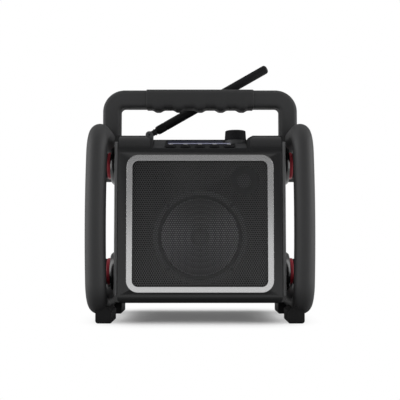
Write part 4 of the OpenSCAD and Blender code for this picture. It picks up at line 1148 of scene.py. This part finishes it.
@dataclass
class Guards(SubAssembly):
    """Tubular side guards with their hubs, the red-ringed standoffs and the feet."""

    tube: float = 13.7 * MM
    tube_sides: int = 64
    bend: float = 29.0 * MM
    bend_steps: int = 20
    bow: float = 3000.0 * MM
    bow_steps: int = 24
    out: float = 136.0 * MM
    front: float = 91.0 * MM
    rails: Pair = (24.0 * MM, 250.8 * MM)
    stubs: Pair = (17.0 * MM, 14.0 * MM)
    tip_steps: int = 8
    hub_y: float = 50.0 * MM
    hub_z: Pair = (66.0 * MM, 209.0 * MM)
    hub_x: Pair = (129.0 * MM, 143.0 * MM)
    hub_front: float = 18.0 * MM
    hub_rear: float = 14.0 * MM
    hub_rim: float = 2.0 * MM
    hub_dish: float = 0.9 * MM
    bolt_well: float = 5.4 * MM
    web_x: Pair = (131.0 * MM, 141.0 * MM)
    web_width: float = 22.0 * MM
    web_flare: float = 5.0 * MM
    web_length: float = 38.0 * MM
    web_corner: float = 3.0 * MM
    web_steps: int = 12
    feet: tuple[str, ...] = ("front_left", "front_right", "rear_left", "rear_right")

    def build(self) -> None:
        """Sweeps both tubes, turns the hubs and dresses the standoffs and feet."""
        for side, word in ((1, "right"), (-1, "left")):
            self._tube(side, word)
            self._hubs(side, word)
        polished("guard_rings", RED, 0.7 * MM, 3)
        polished("guard_collars", COLLAR, 0.5 * MM, 3)
        polished("guard_bolts", DARK_STEEL, 0.25 * MM)
        plain("guard_nuts", STEEL)
        for place in self.feet:
            polished("foot_" + place, FOOT, 1.8 * MM, 4)
        polished("foot_screws", STEEL, 0.2 * MM)

    @property
    def bar_ends(self) -> Pair:
        """Heights at which the front bar ends and its bends begin."""
        return self.rails[0] + self.bend, self.rails[1] - self.bend

    @property
    def lean(self) -> float:
        """Angle by which each end of the bowed front bar leans in."""
        return math.asin((self.bar_ends[1] - self.bar_ends[0]) / 2 / self.bow)

    def _leaned(self, y: float, rise: float, up: int) -> Vector:
        """Finds a point in the leaned plane of a bar's end.

        Args:
            y: its place along Y.
            rise: its distance past the bar's end, away from half height.
            up: 1 at the upper end, -1 at the lower one.

        Returns:
            The point.
        """
        end_x = self.out - self.bow + self.bow * math.cos(self.lean)
        level = self.bar_ends[1] if up > 0 else self.bar_ends[0]
        return Vector((end_x - rise * math.sin(self.lean), y, level + up * rise * math.cos(self.lean)))

    def _end(self, up: int, stub: float) -> list[tuple[Vector, float]]:
        """Follows the tube from a rear stub's round tip to the front bar's end.

        Args:
            up: 1 at the upper end, -1 at the lower one.
            stub: how far the stub reaches past its bend.

        Returns:
            Points of the middle line, with the tube's radius at each.
        """
        straight, line = self.front - self.bend, []
        for i in range(1, self.tip_steps):
            a = math.pi / 2 * i / self.tip_steps
            rise = -(stub - self.tube + self.tube * math.cos(a))
            line.append((self._leaned(self.front, rise, up), self.tube * math.sin(a)))
        rear = [(straight + y, rise) for y, rise in arc((0.0, 0.0), self.bend, 0, 90, self.bend_steps)]
        front = [(-y, rise) for y, rise in reversed(rear)]
        return line + [(self._leaned(y, rise, up), self.tube) for y, rise in rear + front]

    def _bar(self) -> list[tuple[Vector, float]]:
        """Follows the bowed front bar from top to bottom, without its ends.

        Returns:
            Points of the middle line, with the tube's radius at each.
        """
        turns = [self.lean * (1 - 2 * i / self.bow_steps) for i in range(1, self.bow_steps)]
        centre_x, middle = self.out - self.bow, sum(self.bar_ends) / 2
        spots = [(centre_x + self.bow * math.cos(a), -self.front, middle + self.bow * math.sin(a)) for a in turns]
        return [(Vector(spot), self.tube) for spot in spots]

    def _tube(self, side: int, word: str) -> None:
        """One guard's tube, swept along its middle line.

        Args:
            side: 1 for the right-hand guard, -1 for the left-hand one.
            word: the side's name.
        """
        line = self._end(1, self.stubs[0]) + self._bar() + self._end(-1, self.stubs[1])[::-1]
        path = bpy.data.meshes.new("guard_path_" + word)
        edges = [(i, i + 1) for i in range(len(line) - 1)]
        path.from_pydata([(side * p.x, p.y, p.z) for p, _ in line], edges, [])
        girth = path.attributes.new("girth", "FLOAT", "POINT")
        girth.data.foreach_set("value", [radius for _, radius in line])
        tree = Grower("swept_tube", GUARD, Sides=self.tube_sides)
        curve = tree.node("GeometryNodeMeshToCurve", {0: tree.given["Geometry"]}).outputs[0]
        section = tree.node("GeometryNodeCurvePrimitiveCircle", {"Resolution": tree.given["Sides"], "Radius": 1.0})
        width = tree.node("GeometryNodeInputNamedAttribute", {"Name": "girth"}, data_type="FLOAT")
        girths = width.outputs["Attribute"]
        sweep = {0: curve, "Profile Curve": section.outputs[0], "Scale": girths, "Fill Caps": True}
        swept = tree.node("GeometryNodeCurveToMesh", sweep).outputs[0]
        dress(tree.grow(swept, "guard_tube_" + word, path, 60.0), "guard_" + word, GUARD)

    def _hubs(self, side: int, word: str) -> None:
        """The four hub discs of one guard and the webs that join them to its bends.

        Args:
            side: 1 for the right-hand guard, -1 for the left-hand one.
            word: the side's name.
        """
        pieces = []
        for along, radius in ((-1, self.hub_front), (1, self.hub_rear)):
            for up, z in zip((-1, 1), self.hub_z):
                centre = Vector((0.0, along * self.hub_y, z))
                pieces.append(self._disc(side, centre, radius))
                pieces.append(self._web(side, centre, Vector((0.0, along, up)).normalized()))
        dress(merged("guard_hubs_" + word, pieces), "guard_" + word, GUARD, False)

    def _disc(self, side: int, centre: Vector, radius: float) -> Thing:
        """A hub disc, dished on its outer face round the well of its bolt.

        Args:
            side: 1 for the right-hand guard, -1 for the left-hand one.
            centre: the hub's centre, in the middle plane.
            radius: the disc's radius.

        Returns:
            The disc.
        """
        well, rim, thick = self.bolt_well, self.hub_rim, self.hub_x[1] - self.hub_x[0]
        dished, crown = thick - self.hub_dish, thick - 0.2 * MM
        profile = [(0.0, 0.0), (radius - rim, 0.0)] + arc((radius - rim, rim), rim, 270, 360, 4)[1:]
        profile += arc((radius - rim, thick - rim), rim, 0, 90, 5)
        profile += [(radius - 3.6 * MM, thick), (radius - 4.6 * MM, dished), (well + 3.2 * MM, dished)]
        profile += [(well + 2.4 * MM, crown), (well + 0.6 * MM, crown), (well, thick - 0.8 * MM)]
        profile += [(well, thick - 6 * MM), (0.0, thick - 6 * MM)]
        turn = Matrix.Rotation(math.radians(90 * side), 4, "Y")
        place = Matrix.Translation(centre + Vector((side * self.hub_x[0], 0.0, 0.0)))
        return lathe("hub", profile, place @ turn, 72)

    def _web(self, side: int, centre: Vector, along: Vector) -> Thing:
        """The web of one hub: a waisted bar that widens towards both of its ends.

        Args:
            side: 1 for the right-hand guard, -1 for the left-hand one.
            centre: the hub's centre, in the middle plane.
            along: the direction from the hub to its bend.

        Returns:
            The web.
        """
        (x0, x1), start = self.web_x, self.bolt_well * 2
        across, middle = Vector((0.0, -along.z, along.y)), Vector((side * (x0 + x1) / 2, 0.0, 0.0))
        rings = []
        for i in range(self.web_steps + 1):
            t = i / self.web_steps
            width = self.web_width + self.web_flare * (2 * t - 1) ** 2
            spot = centre + middle + along * (start * (1 - t) + self.web_length * t)
            outline = round_rect(x1 - x0, width, self.web_corner, 6)
            rings.append([spot + Vector((u, 0.0, 0.0)) + across * v for u, v in outline])
        return lofted("web", [rings])


@dataclass
class RearFace(SubAssembly):
    """Battery door with its latch and cells, and the sockets under their flap."""

    def build(self) -> None:
        """Dresses everything in the rear face."""
        polished("battery_door", HOUSING, 0.5 * MM)
        plain("door_pins", STEEL)
        polished("battery_latch", DARK_PLASTIC, 0.35 * MM)
        polished("battery_holder", DARK_PLASTIC, 0.3 * MM)
        polished("battery_cells", CELL, 0.2 * MM)
        plain("battery_contacts", STEEL)
        polished("socket_panel", DARK_PLASTIC, 0.25 * MM)
        polished("socket_cover", SEAL, 0.3 * MM)


PARTS: tuple[SubAssembly, ...] = (
    Housing(), FrontFace(), Speakers(), ControlDeck(), Antenna(), Handle(), Guards(), RearFace(),
)


# ---- Studio


@dataclass(frozen=True)
class SoftBox:
    """A rectangular area light that points at the radio; mirrored ones show in reflections."""

    name: str
    place: tuple[float, float, float]
    size: Pair
    power: float
    mirrored: bool = True
    aim: tuple[float, float, float] = (0.0, 0.0, 0.16)

    def build(self) -> None:
        """Creates the light."""
        data = bpy.data.lights.new(self.name, "AREA")
        data.shape = "RECTANGLE"
        data.size, data.size_y = self.size
        data.energy = self.power
        made = bpy.data.objects.new(self.name, data)
        bpy.context.scene.collection.objects.link(made)
        made.location = self.place
        made.visible_glossy = self.mirrored
        gaze = Vector(self.aim) - Vector(self.place)
        made.rotation_euler = gaze.to_track_quat("-Z", "Y").to_euler()


@dataclass
class Studio:
    """Pale floor, soft lights and the camera."""

    floor_size: float = 12.0
    floor_tone: float = 0.85
    floor_lift: float = 0.12
    shadow_core: Pair = (0.07, 0.05)
    shadow_fade: Pair = (0.0, 0.10)
    bounce_core: Pair = (0.12, 0.10)
    bounce_fade: Pair = (0.0, 0.22)
    bounce_loss: float = 0.7
    world_strength: float = 0.48
    front_strength: float = 0.25
    side_turn: Pair = (0.45, 0.93)
    top_turn: Pair = (0.35, 0.85)
    top_strength: float = 0.5
    horizon: Pair = (0.05, 0.0)
    camera_place: tuple[float, float, float] = (0.0, -0.999, 0.1104)
    camera_pitch: float = 3.15
    camera_lens: float = 62.9
    lights: tuple[SoftBox, ...] = (
        SoftBox("top_box", (0.0, 0.25, 1.7), (1.5, 1.5), 11.0, False),
        SoftBox("left_box", (-1.5, -0.25, 0.5), (1.2, 1.3), 15.5),
        SoftBox("right_box", (1.5, -0.25, 0.5), (1.2, 1.3), 15.5),
    )

    def build(self) -> None:
        """Makes the floor, the world, the lights and the camera."""
        self._floor()
        self._world()
        for light in self.lights:
            light.build()
        self._camera()

    def _floor(self) -> None:
        """A wide floor that keeps the shadow, reads as white seen or mirrored, and is painted darker near the radio
        to bounced light.
        """
        build = bmesh.new()
        bmesh.ops.create_grid(build, x_segments=1, y_segments=1, size=self.floor_size / 2)
        floor = mesh_from("studio_floor", build)
        made = bpy.data.materials.new("studio_floor")
        made.use_nodes = True
        nodes = made.node_tree.nodes
        nodes.remove(nodes["Principled BSDF"])
        tree = Tree(made.node_tree)
        path = tree.node("ShaderNodeLightPath").outputs
        seen = path["Is Camera Ray"]
        # Painted shade: near the radio the floor is darker to all but camera rays, so less light bounces onto the
        # radio's underside.
        far = self._away(tree, self.bounce_core, self.bounce_fade)
        under = tree.math("MULTIPLY", tree.math("SUBTRACT", 1.0, seen), tree.math("SUBTRACT", 1.0, far))
        kept = tree.math("SUBTRACT", 1.0, tree.math("MULTIPLY", under, self.bounce_loss))
        matte = tree.node("ShaderNodeBsdfDiffuse", {"Color": tree.math("MULTIPLY", kept, self.floor_tone)})
        lift = tree.node("ShaderNodeEmission", {"Strength": tree.math("MULTIPLY", seen, self.floor_lift)})
        near = tree.node("ShaderNodeAddShader", {0: matte.outputs[0], 1: lift.outputs[0]})
        white = tree.node("ShaderNodeEmission")
        shown = tree.math("MULTIPLY", seen, self._away(tree, self.shadow_core, self.shadow_fade))
        mirrored = tree.math("MULTIPLY", path["Is Glossy Ray"], far)
        blend = {"Fac": tree.math("ADD", shown, mirrored, clamp=True), 1: near.outputs[0], 2: white.outputs[0]}
        tree.feed(nodes["Material Output"], {"Surface": tree.node("ShaderNodeMixShader", blend).outputs[0]})
        floor.data.materials.append(made)

    @staticmethod
    def _away(tree: Tree, core: Pair, fade: Pair) -> Socket:
        """A mask that is 0 on the floor under the radio and 1 farther out.

        Args:
            tree: the floor's shader tree.
            core: half width and half depth of the middle that distances are taken from.
            fade: distances from the middle between which the mask rises.

        Returns:
            The mask.
        """
        place = tree.split(tree.place())
        past = [tree.math("SUBTRACT", tree.math("ABSOLUTE", place[axis]), half) for axis, half in zip("XY", core)]
        past = [tree.math("MAXIMUM", distance, 0.0) for distance in past]
        squares = [tree.math("MULTIPLY", distance, distance) for distance in past]
        return tree.ramp(tree.math("SQRT", tree.math("ADD", *squares)), fade, (0.0, 1.0))

    def _world(self) -> None:
        """A white surround: softer as a light, and dim at the front and behind in reflections."""
        world = bpy.data.worlds.new("studio_world")
        world.use_nodes = True
        bpy.context.scene.world = world
        tree = Tree(world.node_tree)
        place = tree.split(tree.node("ShaderNodeTexCoord").outputs["Generated"])
        sides = tree.ramp(tree.math("ABSOLUTE", place["X"]), self.side_turn, (self.front_strength, 1.0))
        overhead = tree.ramp(place["Z"], self.top_turn, (0.0, self.top_strength))
        below = tree.ramp(place["Z"], self.horizon, (0.0, 1.0))
        shown = tree.math("MAXIMUM", sides, tree.math("MAXIMUM", overhead, below))
        path = tree.node("ShaderNodeLightPath").outputs
        seen = tree.math("ADD", path["Is Camera Ray"], path["Is Transmission Ray"], clamp=True)
        extra = tree.math("MULTIPLY", seen, 1.0 - self.world_strength)
        gloss = tree.math("MULTIPLY", path["Is Glossy Ray"], tree.math("SUBTRACT", shown, self.world_strength))
        strength = tree.math("ADD", tree.math("ADD", extra, gloss), self.world_strength)
        surround = world.node_tree.nodes["Background"]
        tree.feed(surround, {"Color": (1.0, 1.0, 1.0, 1.0), "Strength": strength})

    def _camera(self) -> None:
        """A camera in front of the radio, a little below its middle and tipped up."""
        data = bpy.data.cameras.new("studio_camera")
        data.lens = self.camera_lens
        data.sensor_width = 36.0
        data.clip_start = 0.01
        camera = bpy.data.objects.new("studio_camera", data)
        bpy.context.scene.collection.objects.link(camera)
        camera.location = self.camera_place
        camera.rotation_euler = (math.radians(90.0 + self.camera_pitch), 0.0, 0.0)
        bpy.context.scene.camera = camera


def main() -> None:
    """Builds the studio and every sub-assembly, in order."""
    logging.basicConfig(level=logging.INFO, format="%(message)s")
    bpy.context.scene.view_settings.view_transform = "Standard"
    Studio().build()
    for part in PARTS:
        LOG.info("building %s", type(part).__name__)
        part.build()


if __name__ == "__main__":
    main()
